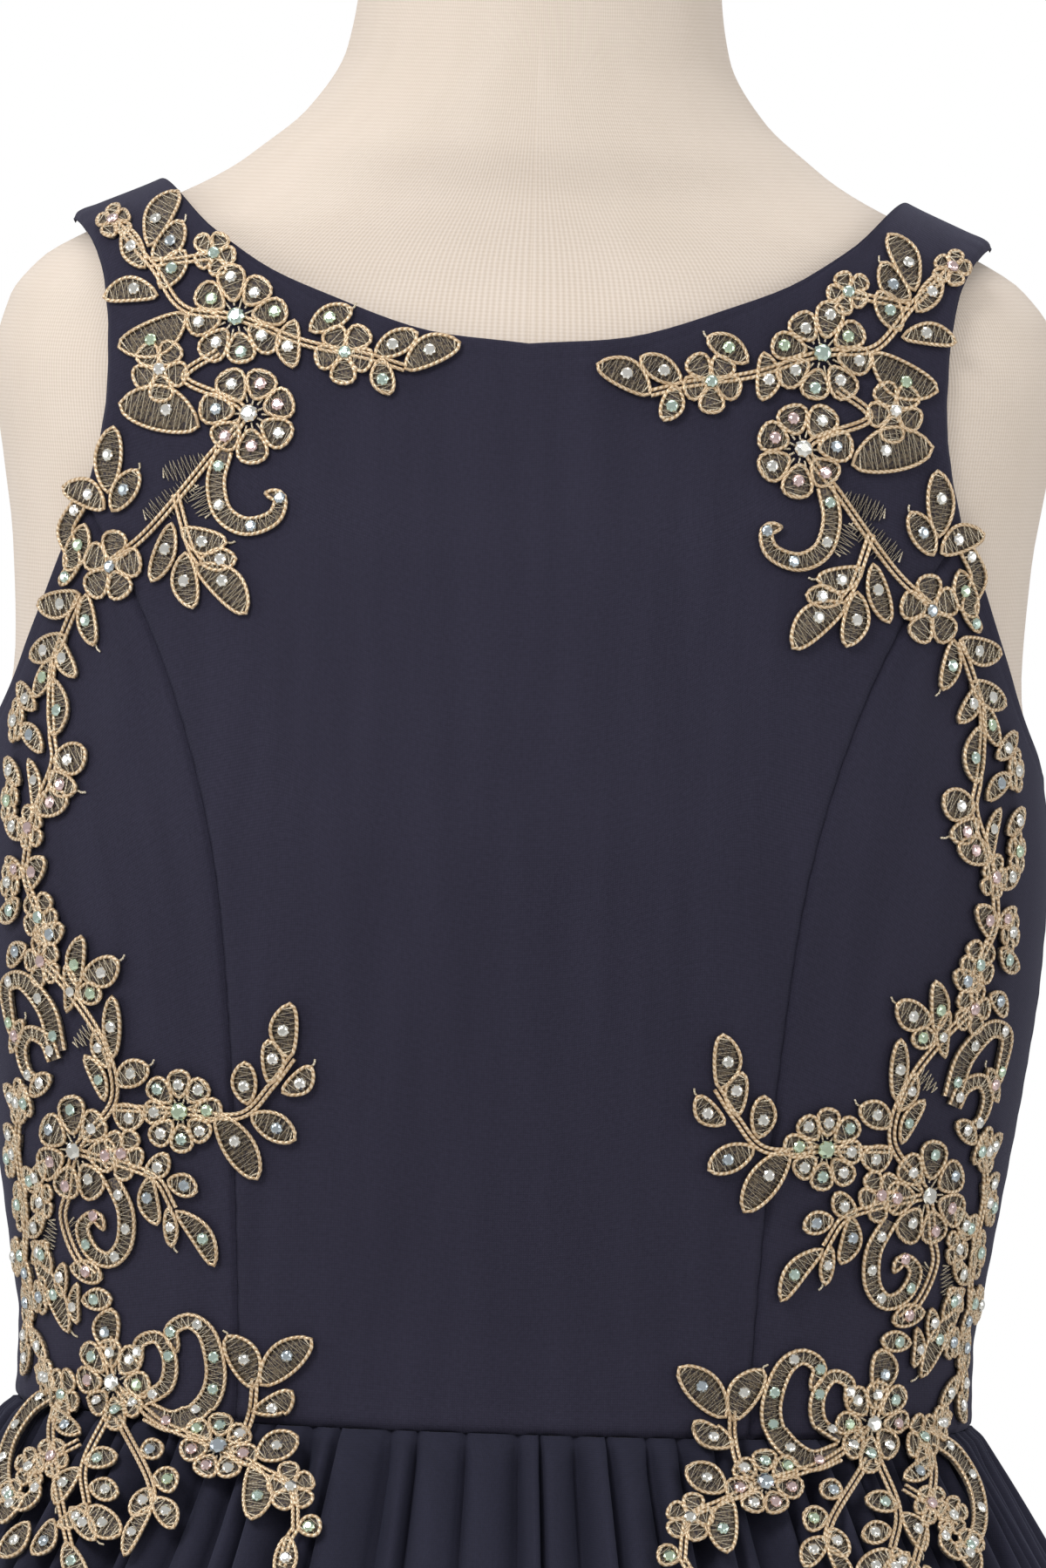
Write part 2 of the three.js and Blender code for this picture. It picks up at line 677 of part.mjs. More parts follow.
// Halves every edge that would be over the given length once in place, so that a flat piece can bend
function splitLong(points, faces, place, longest) {
  const middles = new Map();
  const placed = points.map(place);
  const middle = (a, b) => {
    const length = Math.hypot(...placed[a].map((value, k) => placed[b][k] - value));
    if (length <= longest) return null;
    const key = `${Math.min(a, b)}_${Math.max(a, b)}`;
    if (!middles.has(key)) {
      const halfWay = points[a].map((value, k) => (value + points[b][k]) / 2);
      middles.set(key, points.push(halfWay) - 1);
    }
    return middles.get(key);
  };
  const next = [];
  for (const face of faces) {
    const cut = [0, 1, 2].map((k) => middle(face[k], face[(k + 1) % 3]));
    const count = cut.filter((value) => value !== null).length;
    if (count === 0) next.push(face);
    if (count === 3) {
      face.forEach((vertex, k) => next.push([vertex, cut[k], cut[(k + 2) % 3]]));
      next.push(cut);
    }
    if (count === 1 || count === 2) {
      const onlyCut = cut.findIndex((value) => value !== null);
      const start = count === 1 ? onlyCut : (cut.indexOf(null) + 1) % 3;
      const [a, b, c] = [0, 1, 2].map((k) => face[(start + k) % 3]);
      const [ab, bc] = [cut[start], cut[(start + 1) % 3]];
      if (count === 1) next.push([a, ab, c], [ab, b, c]);
      else next.push([a, ab, bc], [ab, b, bc], [a, bc, c]);
    }
  }
  return middles.size ? splitLong(points, next, place, longest) : { points, faces: next };
}

// The lace motifs, as seen from the front on one side: distance from the centre and height.
// A stem is the line that a motif grows along. A flower has a radius and a number of petals,
// a leaf runs from its foot to its tip, and a scroll is a curl of one width.
const LACE = {
  neck: {
    stems: [
      [[98, 1050], [90, 1040], [80.5, 1031.5], [69.5, 1031], [48.5, 1025.5], [28, 1021.5]],
      [[71.5, 1023.5], [87, 1017], [67, 1008], [82, 983.5], [75.5, 971.5]],
      [[83, 981.5], [97.5, 971]],
    ],
    flowers: [
      { x: 98, z: 1050, radius: 5, petals: 5 },
      { x: 75.5, z: 1044.5, radius: 5.5, petals: 5 },
      { x: 69.5, z: 1031, radius: 11.5, petals: 7 },
      { x: 87, z: 1018.5, radius: 7, petals: 5 },
      { x: 66, z: 1008.5, radius: 11, petals: 7 },
      { x: 44, z: 1024, radius: 6.8, petals: 5 },
      { x: 96.5, z: 971.5, radius: 7.8, petals: 5 },
    ],
    leaves: [
      { x: 91, z: 1044, tipX: 85.5, tipZ: 1056, width: 6 },
      { x: 89, z: 1037, tipX: 100, tipZ: 1035.5, width: 5 },
      { x: 81.5, z: 1031.5, tipX: 96.5, tipZ: 1024, width: 9 },
      { x: 73, z: 1007.5, tipX: 95, tipZ: 1010, width: 10 },
      { x: 56.5, z: 1028, tipX: 56, tipZ: 1018.5, width: 5.5 },
      { x: 35.5, z: 1023.5, tipX: 27, tipZ: 1028, width: 5.5 },
      { x: 29, z: 1021.5, tipX: 16.5, tipZ: 1025.5, width: 6.5 },
      { x: 82, z: 983.5, tipX: 86.5, tipZ: 967, width: 5 },
      { x: 80, z: 980.5, tipX: 69, tipZ: 977.5, width: 6 },
      { x: 75.5, z: 972.5, tipX: 64.5, tipZ: 962, width: 7.5 },
      { x: 97.5, z: 973, tipX: 97, tipZ: 1004, width: 6.6 },
    ],
    scrolls: [
      { width: 5, line: [[71.5, 1000.5], [72, 989.5], [66, 982.5], [58.5, 985], [59.5, 991]] },
    ],
  },
  armhole: {
    stems: [
      [[102.5, 964.5], [110, 947.5], [109, 934.5], [109, 923.5], [113, 910], [112.5, 898], [110.5, 887.5]],
    ],
    flowers: [
      { x: 113, z: 908, radius: 5, petals: 5 },
      { x: 110.5, z: 887.5, radius: 6, petals: 5 },
    ],
    leaves: [
      { x: 103, z: 963.5, tipX: 111.5, tipZ: 959.5, width: 6 },
      { x: 103, z: 962.5, tipX: 99, tipZ: 951.5, width: 5 },
      { x: 108, z: 951.5, tipX: 102.5, tipZ: 941.5, width: 5.5 },
      { x: 110, z: 947.5, tipX: 113, tipZ: 934.5, width: 5 },
      { x: 109, z: 923.5, tipX: 100.5, tipZ: 927.5, width: 7 },
      { x: 114, z: 898, tipX: 119.5, tipZ: 902, width: 4.5 },
    ],
    scrolls: [],
  },
  side: {
    stems: [
      [[109, 876.5], [104.5, 854.5], [100, 831.5], [101, 804.5], [98, 796.5]],
      [[101.5, 842.5], [75.5, 842.5], [61.5, 843], [51, 857]],
      [[100, 832.5], [83, 827], [76.5, 819.5]],
      [[105, 832.5], [116, 832], [113, 806]],
    ],
    flowers: [
      { x: 109, z: 877, radius: 5.3, petals: 5 },
      { x: 76, z: 843, radius: 9.5, petals: 7 },
      { x: 99, z: 831.5, radius: 12, petals: 7 },
    ],
    leaves: [
      { x: 105, z: 868.5, tipX: 100, tipZ: 883.5, width: 5 },
      { x: 105, z: 866.5, tipX: 91.5, tipZ: 877, width: 6 },
      { x: 92.5, z: 843, tipX: 92.5, tipZ: 869, width: 5.5 },
      { x: 90.5, z: 843, tipX: 83.5, tipZ: 854, width: 6 },
      { x: 65.5, z: 842.5, tipX: 57, tipZ: 827.5, width: 7 },
      { x: 51, z: 855, tipX: 51, tipZ: 870.5, width: 6 },
      { x: 58.5, z: 846, tipX: 57, tipZ: 859, width: 6 },
      { x: 61.5, z: 843, tipX: 47.5, tipZ: 838.5, width: 6 },
      { x: 81, z: 826, tipX: 71, tipZ: 823.5, width: 5 },
      { x: 77.5, z: 820.5, tipX: 66.5, tipZ: 806, width: 5.5 },
      { x: 100, z: 802.5, tipX: 91, tipZ: 801, width: 5 },
      { x: 112.5, z: 807, tipX: 102, tipZ: 788, width: 7 },
      { x: 114.5, z: 820, tipX: 106.5, tipZ: 816.5, width: 5.5 },
    ],
    scrolls: [
      { width: 5, line: [[105, 854.5], [108, 865.5], [114.5, 871.5], [118.5, 864]] },
      { width: 4.5, line: [[91, 829], [88.5, 815], [92, 806.5], [97.5, 811.5]] },
    ],
  },
  waist: {
    stems: [
      [[97.5, 790.5], [90, 776], [76, 768.5], [65, 762], [48, 753.5], [46, 743.5]],
      [[85, 770], [80, 749]],
      [[95, 770.5], [96, 747.5]],
      [[97, 772.5], [112.5, 752]],
      [[60.5, 762], [56, 777]],
    ],
    flowers: [
      { x: 91.5, z: 776, radius: 11, petals: 7 },
      { x: 65, z: 762, radius: 8.8, petals: 7 },
      { x: 48, z: 753.5, radius: 6, petals: 5 },
      { x: 106, z: 757.5, radius: 6, petals: 5 },
    ],
    leaves: [
      { x: 57, z: 775, tipX: 63, tipZ: 789, width: 7 },
      { x: 56, z: 777, tipX: 43.5, tipZ: 789, width: 7 },
      { x: 58, z: 770, tipX: 48, tipZ: 776, width: 6.5 },
      { x: 56.5, z: 759, tipX: 46, tipZ: 765.5, width: 7 },
      { x: 57.5, z: 759, tipX: 56.5, tipZ: 745, width: 6.5 },
      { x: 46.5, z: 745.5, tipX: 49, tipZ: 732, width: 5 },
      { x: 81, z: 751, tipX: 86.5, tipZ: 736, width: 5 },
      { x: 80.5, z: 752, tipX: 73.5, tipZ: 744.5, width: 6 },
      { x: 96.5, z: 752.5, tipX: 103.5, tipZ: 743.5, width: 5 },
      { x: 96.5, z: 749.5, tipX: 88, tipZ: 740, width: 7 },
      { x: 111, z: 753, tipX: 116, tipZ: 742, width: 6 },
    ],
    scrolls: [
      { width: 4, line: [[83.5, 772], [76.5, 778.5], [78.5, 787], [84.5, 784]] },
      { width: 5.5, line: [[76, 767.5], [66.5, 777.5], [68.5, 789.5], [73.5, 792], [76, 786.5]] },
    ],
  },
};

// The nearest point to (x, z) on the stems that a motif grows along
function onStem(stems, x, z) {
  let best = { distance: Infinity };
  for (const line of stems) {
    for (let i = 0; i < line.length - 1; i += 1) {
      const [[x0, z0], [x1, z1]] = [line[i], line[i + 1]];
      const [dx, dz] = [x1 - x0, z1 - z0];
      const share = THREE.MathUtils.clamp(((x - x0) * dx + (z - z0) * dz) / (dx * dx + dz * dz), 0, 1);
      const foot = [x0 + share * dx, z0 + share * dz];
      const distance = Math.hypot(x - foot[0], z - foot[1]);
      if (distance < best.distance) best = { distance, foot };
    }
  }
  return best.foot;
}

// A point that stands off the dress, from its place as seen from the front. It goes by the bodice
// above the waist and by the skirt's crests below it, with a smooth change between the two.
function liftedOffDress(x, y, distance) {
  const share = THREE.MathUtils.smoothstep(y, WAIST_Z, WAIST_Z + WAIST_BLEND);
  const onSkirt = outside.lift(outside.settle(outside.seenFromFront(x, y)), distance);
  const onBodice = offForm(form.settle(form.seenFromFront(x, y)), SHELL + distance);
  return onSkirt.map((value, k) => THREE.MathUtils.lerp(value, onBodice[k], share));
}

// Bends a flat piece of lace onto the dress, on the wearer's left or right
function layOnDress(flat, side) {
  const inThrees = (values) => (
    Array.from({ length: values.length / 3 }, (_, i) => [...values.slice(3 * i, 3 * i + 3)])
  );
  const corners = inThrees(flat.attributes.position.array);
  const triangles = inThrees(flat.index.array);
  const place = ([x, y, z]) => liftedOffDress(x, y - SIDE_DROP[side], z);
  const { points, faces } = splitLong(corners, triangles, place, LONGEST_EDGE);
  const onDress = points.map(place);
  return side === 'left'
    ? solidFrom(onDress, faces)
    : solidFrom(onDress.map(mirrored), faces.map(([a, b, c]) => [a, c, b]));
}

function laceMotif({ stems, flowers, leaves, scrolls }, side) {
  // A line that starts on the stems, wherever its own first point lies
  const rooted = (line, grown) => {
    const foot = onStem(grown, ...line[0]);
    const apart = Math.hypot(foot[0] - line[0][0], foot[1] - line[0][1]);
    return apart > 1 ? [foot, ...line] : line;
  };
  const stalks = flowers.map(({ x, z }) => rooted([[x, z]], stems)).filter((line) => line.length > 1);
  const lines = [...stems.map((line, i) => (i ? rooted(line, stems.slice(0, i)) : line)), ...stalks];
  const pieces = [
    ...lines.map((line) => ribbon(line, STEM_WIDTH)),
    ...scrolls.map(({ line, width }) => ribbon(rooted(line, stems), width)),
    ...leaves.map(({ x, z, tipX, tipZ, width }) => leaf(onStem(stems, x, z), tipX, tipZ, width)),
    ...flowers.flatMap(flower),
  ];
  return layOnDress(joined(pieces), side);
}

// The concealed zip's slider and the tab that hangs from it
const ZIP = {
  z: 1001,
  bodyWidth: 5.6,
  bodyLength: 9,
  bodyThickness: 1.6,
  barHeight: 4.2,
  barRadius: 0.65,
  cheekGap: 2.9,
  cheekThickness: 0.8,
  cheekLength: 2.6,
  eyeRadius: 1.9,
  eyeHole: 1.0,
  eyeWidth: 2.2,
  tabWidth: 4.6,
  tabLength: 19,
  tabThickness: 1.2,
  tabStart: 3.4,
  tabTurn: 7,
  clearance: 0.35,
  rootWidth: 3.2,
  sides: 12,
};

// The zip's own frame: x across, y up the seam, z out of the cloth
function zipFrame() {
  const onCloth = outside.settle(form.seenFromFront(0, ZIP.z, 1));
  const out = new THREE.Vector3(...outside.normal(onCloth));
  const across = new THREE.Vector3(-1, 0, 0);
  const up = new THREE.Vector3().crossVectors(out, across);
  const place = new THREE.Vector3(...onCloth).addScaledVector(out, ZIP.clearance);
  return new THREE.Matrix4().makeBasis(across, up, out).setPosition(place);
}

const slab = (size, x, y, z) => new THREE.BoxGeometry(...size).translate(x, y, z);
const barAlongX = (radius, length) => (
  new THREE.CylinderGeometry(radius, radius, length, ZIP.sides).rotateZ(Math.PI / 2)
);

function zipSlider() {
  const { bodyWidth, bodyLength, bodyThickness, barHeight, cheekGap, cheekThickness } = ZIP;
  const overlap = 0.2;
  const overBar = 0.3;
  const cheekX = (cheekGap + cheekThickness) / 2;
  const cheekHeight = barHeight + ZIP.barRadius + overBar - bodyThickness + overlap;
  const cheekZ = bodyThickness + cheekHeight / 2 - overlap;
  const cheek = [cheekThickness, ZIP.cheekLength, cheekHeight];
  return joined([
    slab([bodyWidth, bodyLength, bodyThickness], 0, 0, bodyThickness / 2),
    slab(cheek, -cheekX, 0, cheekZ),
    slab(cheek, cheekX, 0, cheekZ),
    barAlongX(ZIP.barRadius, cheekGap + cheekThickness).translate(0, 0, barHeight),
  ]);
}

function zipPull() {
  const { eyeRadius, eyeHole, eyeWidth, rootWidth, tabWidth, tabLength, tabThickness, tabStart } = ZIP;
  const overlap = 0.2;
  const eye = toManifold(barAlongX(eyeRadius, eyeWidth));
  const hole = toManifold(barAlongX(eyeHole, eyeWidth * 2));
  const neckSize = [eyeWidth, tabStart, tabThickness + overlap];
  const neck = toManifold(slab(neckSize, 0, -tabStart / 2 - eyeHole - overlap, 0));
  const plateShape = new THREE.Shape();
  const half = tabWidth / 2;
  const end = tabLength - half;
  plateShape.moveTo(-rootWidth / 2, -tabStart);
  plateShape.lineTo(-half, -end);
  plateShape.absarc(0, -end, half, Math.PI, 2 * Math.PI, false);
  plateShape.lineTo(rootWidth / 2, -tabStart);
  const bladeOptions = { depth: tabThickness, bevelEnabled: false, curveSegments: 6 };
  const blade = new THREE.ExtrudeGeometry(plateShape, bladeOptions).translate(0, 0, -tabThickness / 2);
  const whole = eye.add(neck).add(toManifold(blade)).subtract(hole);
  return toGeometry(whole).rotateX(THREE.MathUtils.degToRad(ZIP.tabTurn)).translate(0, 0, ZIP.barHeight);
}

// Materials
const material = (color, roughness, metalness) => (
  new THREE.MeshStandardMaterial({ color, roughness, metalness })
);
const navy = () => material('#302e44', 0.85, 0);
const gold = () => material('#b99b6b', 0.5, 0.4);
const jersey = () => material('#e6d9c6', 0.9, 0);
const steel = () => material('#8d8f92', 0.35, 0.9);
const navyMetal = () => material('#2b2b3d', 0.4, 0.5);
const wood = () => material('#caa679', 0.6, 0);

const dressOnForm = new THREE.Group();
function add(name, geometry, finish) {
  const mesh = new THREE.Mesh(geometry, finish);
  mesh.name = name;
  dressOnForm.add(mesh);
  return mesh;
}

const sideFront = sideFrontGrid();
const back = backGrid();
const GATHERS_TO_SIDE = GATHERS / 4;
add('front_centre', clothWall(frontCentreGrid()), navy());
add('side_front_left', clothWall(sideFront), navy());
add('side_front_right', clothWall(mirroredGrid(sideFront)), navy());
add('back_left', clothWall(back), navy());
add('back_right', clothWall(mirroredGrid(back)), navy());
add('skirt_front', skirtPanel(-GATHERS_TO_SIDE, GATHERS_TO_SIDE), navy());
add('skirt_back_left', skirtPanel(GATHERS_TO_SIDE, 2 * GATHERS_TO_SIDE), navy());
add('skirt_back_right', skirtPanel(2 * GATHERS_TO_SIDE, 3 * GATHERS_TO_SIDE), navy());

for (const [motif, pieces] of Object.entries(LACE)) {
  for (const side of ['left', 'right']) add(`lace_${motif}_${side}`, laceMotif(pieces, side), gold());
}

for (const [name, geometry] of [['zip_slider', zipSlider()], ['zip_pull', zipPull()]]) {
  const mesh = add(name, geometry, navyMetal());
  zipFrame().decompose(mesh.position, mesh.quaternion, mesh.scale);
}

add('form_torso', formTorso(), jersey());

const capOutline = CAP_OUTLINE.map(({ radius, rise }) => [radius, NECK_TOP_Z + SEAM_GAP + rise]);
add('form_neck_cap', turned(capOutline, TURNED_SIDES.cap), wood());

const poleFoot = PLATE_THICKNESS + SEAM_GAP;
const poleTop = FORM_SECTIONS[0].z - SEAM_GAP;
const poleOutline = [
  [0, poleFoot],
  [COLLAR_RADIUS, poleFoot],
  [COLLAR_RADIUS, poleFoot + COLLAR_HEIGHT - COLLAR_TAPER],
  [POLE_RADIUS, poleFoot + COLLAR_HEIGHT],
  [POLE_RADIUS, poleTop],
  [0, poleTop],
];
add('form_pole', turned(poleOutline, TURNED_SIDES.pole), steel());

const plateOutline = [
  [0, 0],
  [PLATE_RADIUS, 0],
  [PLATE_RADIUS, PLATE_THICKNESS - PLATE_BEVEL],
  [PLATE_RADIUS - PLATE_BEVEL, PLATE_THICKNESS],
  [0, PLATE_THICKNESS],
];
add('form_base', turned(plateOutline, TURNED_SIDES.plate), steel());

export default dressOnForm;
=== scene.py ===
# A girl's sleeveless navy party dress with raised gold lace, on a limbless jersey-covered dress form.
import math

import bmesh
import bpy
import numpy as np
from mathutils import Matrix, Vector


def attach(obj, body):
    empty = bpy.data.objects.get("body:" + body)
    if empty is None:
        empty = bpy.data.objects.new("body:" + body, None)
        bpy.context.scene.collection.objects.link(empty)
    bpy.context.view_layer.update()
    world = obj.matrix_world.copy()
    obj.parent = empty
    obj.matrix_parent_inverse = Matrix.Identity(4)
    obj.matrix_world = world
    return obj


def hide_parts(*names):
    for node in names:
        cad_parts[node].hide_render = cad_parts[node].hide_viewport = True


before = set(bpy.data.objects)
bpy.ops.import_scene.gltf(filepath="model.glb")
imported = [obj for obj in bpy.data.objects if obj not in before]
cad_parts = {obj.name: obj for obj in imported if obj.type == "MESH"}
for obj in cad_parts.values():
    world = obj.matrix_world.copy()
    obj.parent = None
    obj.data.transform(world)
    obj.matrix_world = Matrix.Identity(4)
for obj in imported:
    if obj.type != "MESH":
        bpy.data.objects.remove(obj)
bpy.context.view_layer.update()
RIDES_ON = "dress_and_form"
MM = 0.001

# Heights in mm, the same as the solids'
HEM_Z, WAIST_Z, UNDERARM_Z = 45, 768, 926
NECK_BACK_Z, NECK_TOP_Z = 1014, 1130
CLOTH, EASE, STRAP_EASE, SEAM_GAP = 1.3, 1.3, 1.1, 0.3
SHELL = EASE + CLOTH
# The skirt is sewn right up to the bodice, so no light passes between them
WAIST_JOIN = 0.05
STRAP_INNER_X, STRAP_OUTER_X = 89.5, 110.5
GATHERS, FOLDS = 88, 20
CREASE_JITTER = 0.18
GATHER_CLOTH = 2.0
SKIRT_POWER, TORSO_POWER, NECK_POWER = 2.2, 2.2, 2.0

# Level sections of the dress form: height, half width, depth in front, depth behind
FORM_SECTIONS = [
    (556, 112, 80, 86), (562, 122, 88, 94), (575, 129, 93, 99), (600, 132, 95, 101), (650, 130, 93, 100),
    (700, 124, 88, 92), (740, 117, 82, 80), (768, 113.5, 79, 74), (788, 113.5, 79, 73),
    (801, 115.5, 80, 74), (826, 119.5, 83, 77), (855, 124, 86, 81), (880, 127, 88, 85), (905, 128, 89, 88),
    (930, 125.5, 86, 88), (950, 123, 82, 86), (978, 124.5, 76, 81), (995, 127, 70, 78),
    (1021, 130.5, 62, 71), (1036, 129, 57, 66), (1045, 123, 54, 62), (1053, 110, 52, 59),
    (1062, 90, 51, 57), (1072, 71, 50, 55), (1084, 56, 49, 52), (1099, 47, 47, 49), (1115, 44.5, 45, 46),
    (1130, 44, 44, 45),
]
# Outline of the skirt over its crests: height, half width, depth in front, behind, gather, fold
SKIRT_SECTIONS = [
    (45, 307, 284, 294, 0, 46), (165, 295, 270, 279, 0, 43), (305, 273, 246, 253, 0, 36),
    (455, 241, 211, 215, 1, 26), (585, 204, 169, 171, 3, 15), (668, 176, 138, 139, 5, 7),
    (716, 152, 114, 113, 6.5, 2.5), (741, 137, 101, 98, 7, 1), (757, 126.5, 92, 88, 6, 0),
    (768, 118.6, 84.1, 79.1, 2.2, 0),
]
# How far the creases near the centre front stand from even spacing, by gather
FRONT_CREASE_SHIFTS = {-3: 0.43, -2: 0.16, -1: 0.41, 0: 0.55, 1: 0.09, 2: 0.0, 3: -0.11, 4: 0.07}

# Edges of the panels as seen from the front on the wearer's left: distance from the centre, height
PRINCESS_SEAM = [(61, 768), (62, 805), (65, 855), (70.5, 902), (76, 925), (83, 946), (92, 966), (105, 988)]
FRONT_NECKLINE = [(0, 1028.5), (25, 1031), (46.7, 1038), (62.8, 1044.5), (77.7, 1054)]
BACK_NECKLINE = [(0, 1014), (30, 1017), (52, 1026), (68, 1038), (81, 1051)]
FRONT_ARMHOLE_UPPER = [(105, 988), (102, 1001), (100.4, 1013), (100.3, 1024), (101, 1035), (103.3, 1045)]
FRONT_ARMHOLE_LOWER = [(105, 988), (109, 977.5), (113.2, 965), (117.2, 953)]
BACK_ARMHOLE = [(117, 951), (112, 963), (107, 979), (103.5, 996), (102, 1013), (102.5, 1030), (104.5, 1043)]
UNDERARM_FRONT, UNDERARM_BACK = (79, 938), (102, 937)


def smoothstep(value, low, high):
    t = np.clip((np.asarray(value, float) - low) / (high - low), 0, 1)
    return t * t * (3 - 2 * t)


def curve_through(rows, column):
    """A smooth curve through one column of a table, which never overshoots its rows."""
    z = np.array([row[0] for row in rows], float)
    value = np.array([row[column] for row in rows], float)
    slope = np.diff(value) / np.diff(z)
    tangent = np.empty_like(value)
    tangent[0], tangent[-1] = slope[0], slope[-1]
    product, total = slope[:-1] * slope[1:], slope[:-1] + slope[1:]
    tangent[1:-1] = np.where(product > 0, 2 * product / np.where(total == 0, 1, total), 0)

    def at(level):
        level = np.clip(level, z[0], z[-1])
        i = np.clip(np.searchsorted(z, level) - 1, 0, len(z) - 2)
        span = z[i + 1] - z[i]
        t = (level - z[i]) / span
        s = 1 - t
        return (value[i] * s * s * (1 + 2 * t) + value[i + 1] * t * t * (3 - 2 * t)
                + span * t * s * (tangent[i] * s - tangent[i + 1] * t))

    return at


class OvalBody:
    """A body whose level sections are rounded ovals, with a back half of its own depth."""

    def __init__(self, half, front, back, power):
        self.half, self.front, self.back, self.power = half, front, back, power

    def gauge(self, p):
        x, y, z = p[..., 0], p[..., 1], p[..., 2]
        n = self.power(z)
        depth = np.where(y < 0, self.front(z), self.back(z))
        return ((np.abs(x) / self.half(z)) ** n + (np.abs(y) / depth) ** n) ** (1 / n) - 1

    def slope(self, p):
        step = 0.05
        sides = []
        for k in range(3):
            shift = np.zeros(3)
            shift[k] = step
            sides.append((self.gauge(p + shift) - self.gauge(p - shift)) / (2 * step))
        return np.stack(sides, -1)

    def settle(self, start, turns=6):
        p = np.array(start, float)
        for _ in range(turns):
            g = self.slope(p)
            p = p - g * (self.gauge(p) / (g ** 2).sum(-1))[..., None]
        return p

    def normal(self, p):
        g = self.slope(p)
        return g / np.linalg.norm(g, axis=-1, keepdims=True)

    def seen_from_front(self, x, z, side=-1):
        x, z = np.broadcast_arrays(np.asarray(x, float), np.asarray(z, float))
        n = self.power(z)
        depth = self.front(z) if side < 0 else self.back(z)
        across = np.minimum(np.abs(x) / self.half(z), 0.9999)
        return np.stack([x, side * depth * (1 - across ** n) ** (1 / n), z], -1)

    def at_angle(self, degrees, z):
        degrees, z = np.broadcast_arrays(np.asarray(degrees, float), np.asarray(z, float))
        n = self.power(z)
        s, c = np.sin(np.radians(degrees)), np.cos(np.radians(degrees))
        depth = np.where(c > 0, self.front(z), self.back(z))
        x = self.half(z) * np.sign(s) * np.abs(s) ** (2 / n)
        y = -depth * np.sign(c) * np.abs(c) ** (2 / n)
        return np.stack([x, y, z], -1)


def form_power(z):
    return TORSO_POWER + (NECK_POWER - TORSO_POWER) * smoothstep(z, 1050, 1100)


form = OvalBody(*(curve_through(FORM_SECTIONS, column) for column in (1, 2, 3)), form_power)


def outside_of(column):
    bodice, skirt = curve_through(FORM_SECTIONS, column), curve_through(SKIRT_SECTIONS, column)
    at_waist = skirt(WAIST_Z)
    return lambda z: np.where(z > WAIST_Z, np.maximum(bodice(z) + SHELL, at_waist - (z - WAIST_Z)), skirt(z))


outside = OvalBody(outside_of(1), outside_of(2), outside_of(3), form_power)


def off_form(p, distance):
    """A point on the form, moved out by a distance and the straps' own ease."""
    strap = STRAP_EASE * smoothstep(p[..., 2], 990, 1040)
    return p + form.normal(p) * (distance + strap)[..., None]


def smooth_line(points, count):
    """Evenly spaced points on a centripetal curve through the given ones."""
    p = np.array(points, float)
    p = np.vstack([2 * p[0] - p[1], p, 2 * p[-1] - p[-2]])
    dense = []
    for i in range(1, len(p) - 2):
        p0, p1, p2, p3 = p[i - 1:i + 3]
        d0, d1, d2 = (max(np.linalg.norm(b - a), 1e-4) ** 0.5 for a, b in ((p0, p1), (p1, p2), (p2, p3)))
        m1 = ((p1 - p0) / d0 - (p2 - p0) / (d0 + d1) + (p2 - p1) / d1) * d1
        m2 = ((p2 - p1) / d1 - (p3 - p1) / (d1 + d2) + (p3 - p2) / d2) * d1
        t = np.linspace(0, 1, 40, endpoint=False)[:, None]
        dense.append(p1 + m1 * t + (3 * (p2 - p1) - 2 * m1 - m2) * t ** 2
                     + (2 * (p1 - p2) + m1 + m2) * t ** 3)
    dense = np.vstack(dense + [p[-2][None]])
    length = np.concatenate([[0], np.cumsum(np.linalg.norm(np.diff(dense, axis=0), axis=1))])
    even = np.linspace(0, length[-1], count)
    return np.stack([np.interp(even, length, dense[:, k]) for k in range(dense.shape[1])], -1)


def curve_on_form(points):
    path = smooth_line(points, 601)
    shares = np.linspace(0, 1, len(path))

    def at(share):
        share = np.asarray(share, float)
        p = np.stack([np.interp(share, shares, path[:, k]) for k in range(3)], -1)
        return form.settle(p)

    return at


def ridge_point(x):
    low, high = 1040.0, 1110.0
    while high - low > 0.01:
        middle = (low + high) / 2
        low, high = (middle, high) if form.half(middle) > x else (low, middle)
    return np.array([x, 0, low])


def mirrored(p):
    return p * np.array([-1, 1, 1])


def on_front(rows):
    return [form.seen_from_front(x, z) for x, z in rows]


def on_back(rows):
    return [form.seen_from_front(x, z, 1) for x, z in rows]


def in_two(first, second, share):
    def at(v):
        v = np.asarray(v, float)[..., None]
        low = first(np.clip(v[..., 0] / share, 0, 1))
        high = second(np.clip((v[..., 0] - share) / (1 - share), 0, 1))
        return np.where(v <= share, low, high)
    return at


princess = curve_on_form(on_front(PRINCESS_SEAM))
front_armhole_upper = curve_on_form(on_front(FRONT_ARMHOLE_UPPER) + [ridge_point(STRAP_OUTER_X)])
front_armhole_lower = curve_on_form(
    on_front(FRONT_ARMHOLE_LOWER) + [form.at_angle(*UNDERARM_FRONT), form.at_angle(90, UNDERARM_Z)])
back_armhole = curve_on_form(
    [form.at_angle(90, UNDERARM_Z), form.at_angle(*UNDERARM_BACK)] + on_back(BACK_ARMHOLE)
    + [ridge_point(STRAP_OUTER_X)])
front_neckline = curve_on_form(on_front(FRONT_NECKLINE) + [ridge_point(STRAP_INNER_X)])
back_neckline = curve_on_form(on_back(BACK_NECKLINE) + [ridge_point(STRAP_INNER_X)])


def strap_top(share):
    share = np.asarray(share, float)
    shares = np.linspace(0, 1, 9)
    ridge = np.array([ridge_point(STRAP_INNER_X + (STRAP_OUTER_X - STRAP_INNER_X) * s) for s in shares])
    return np.stack([np.interp(share, shares, ridge[:, k]) for k in range(3)], -1)


def side_seam(v):
    return form.at_angle(90, WAIST_Z + (UNDERARM_Z - WAIST_Z) * np.asarray(v, float))


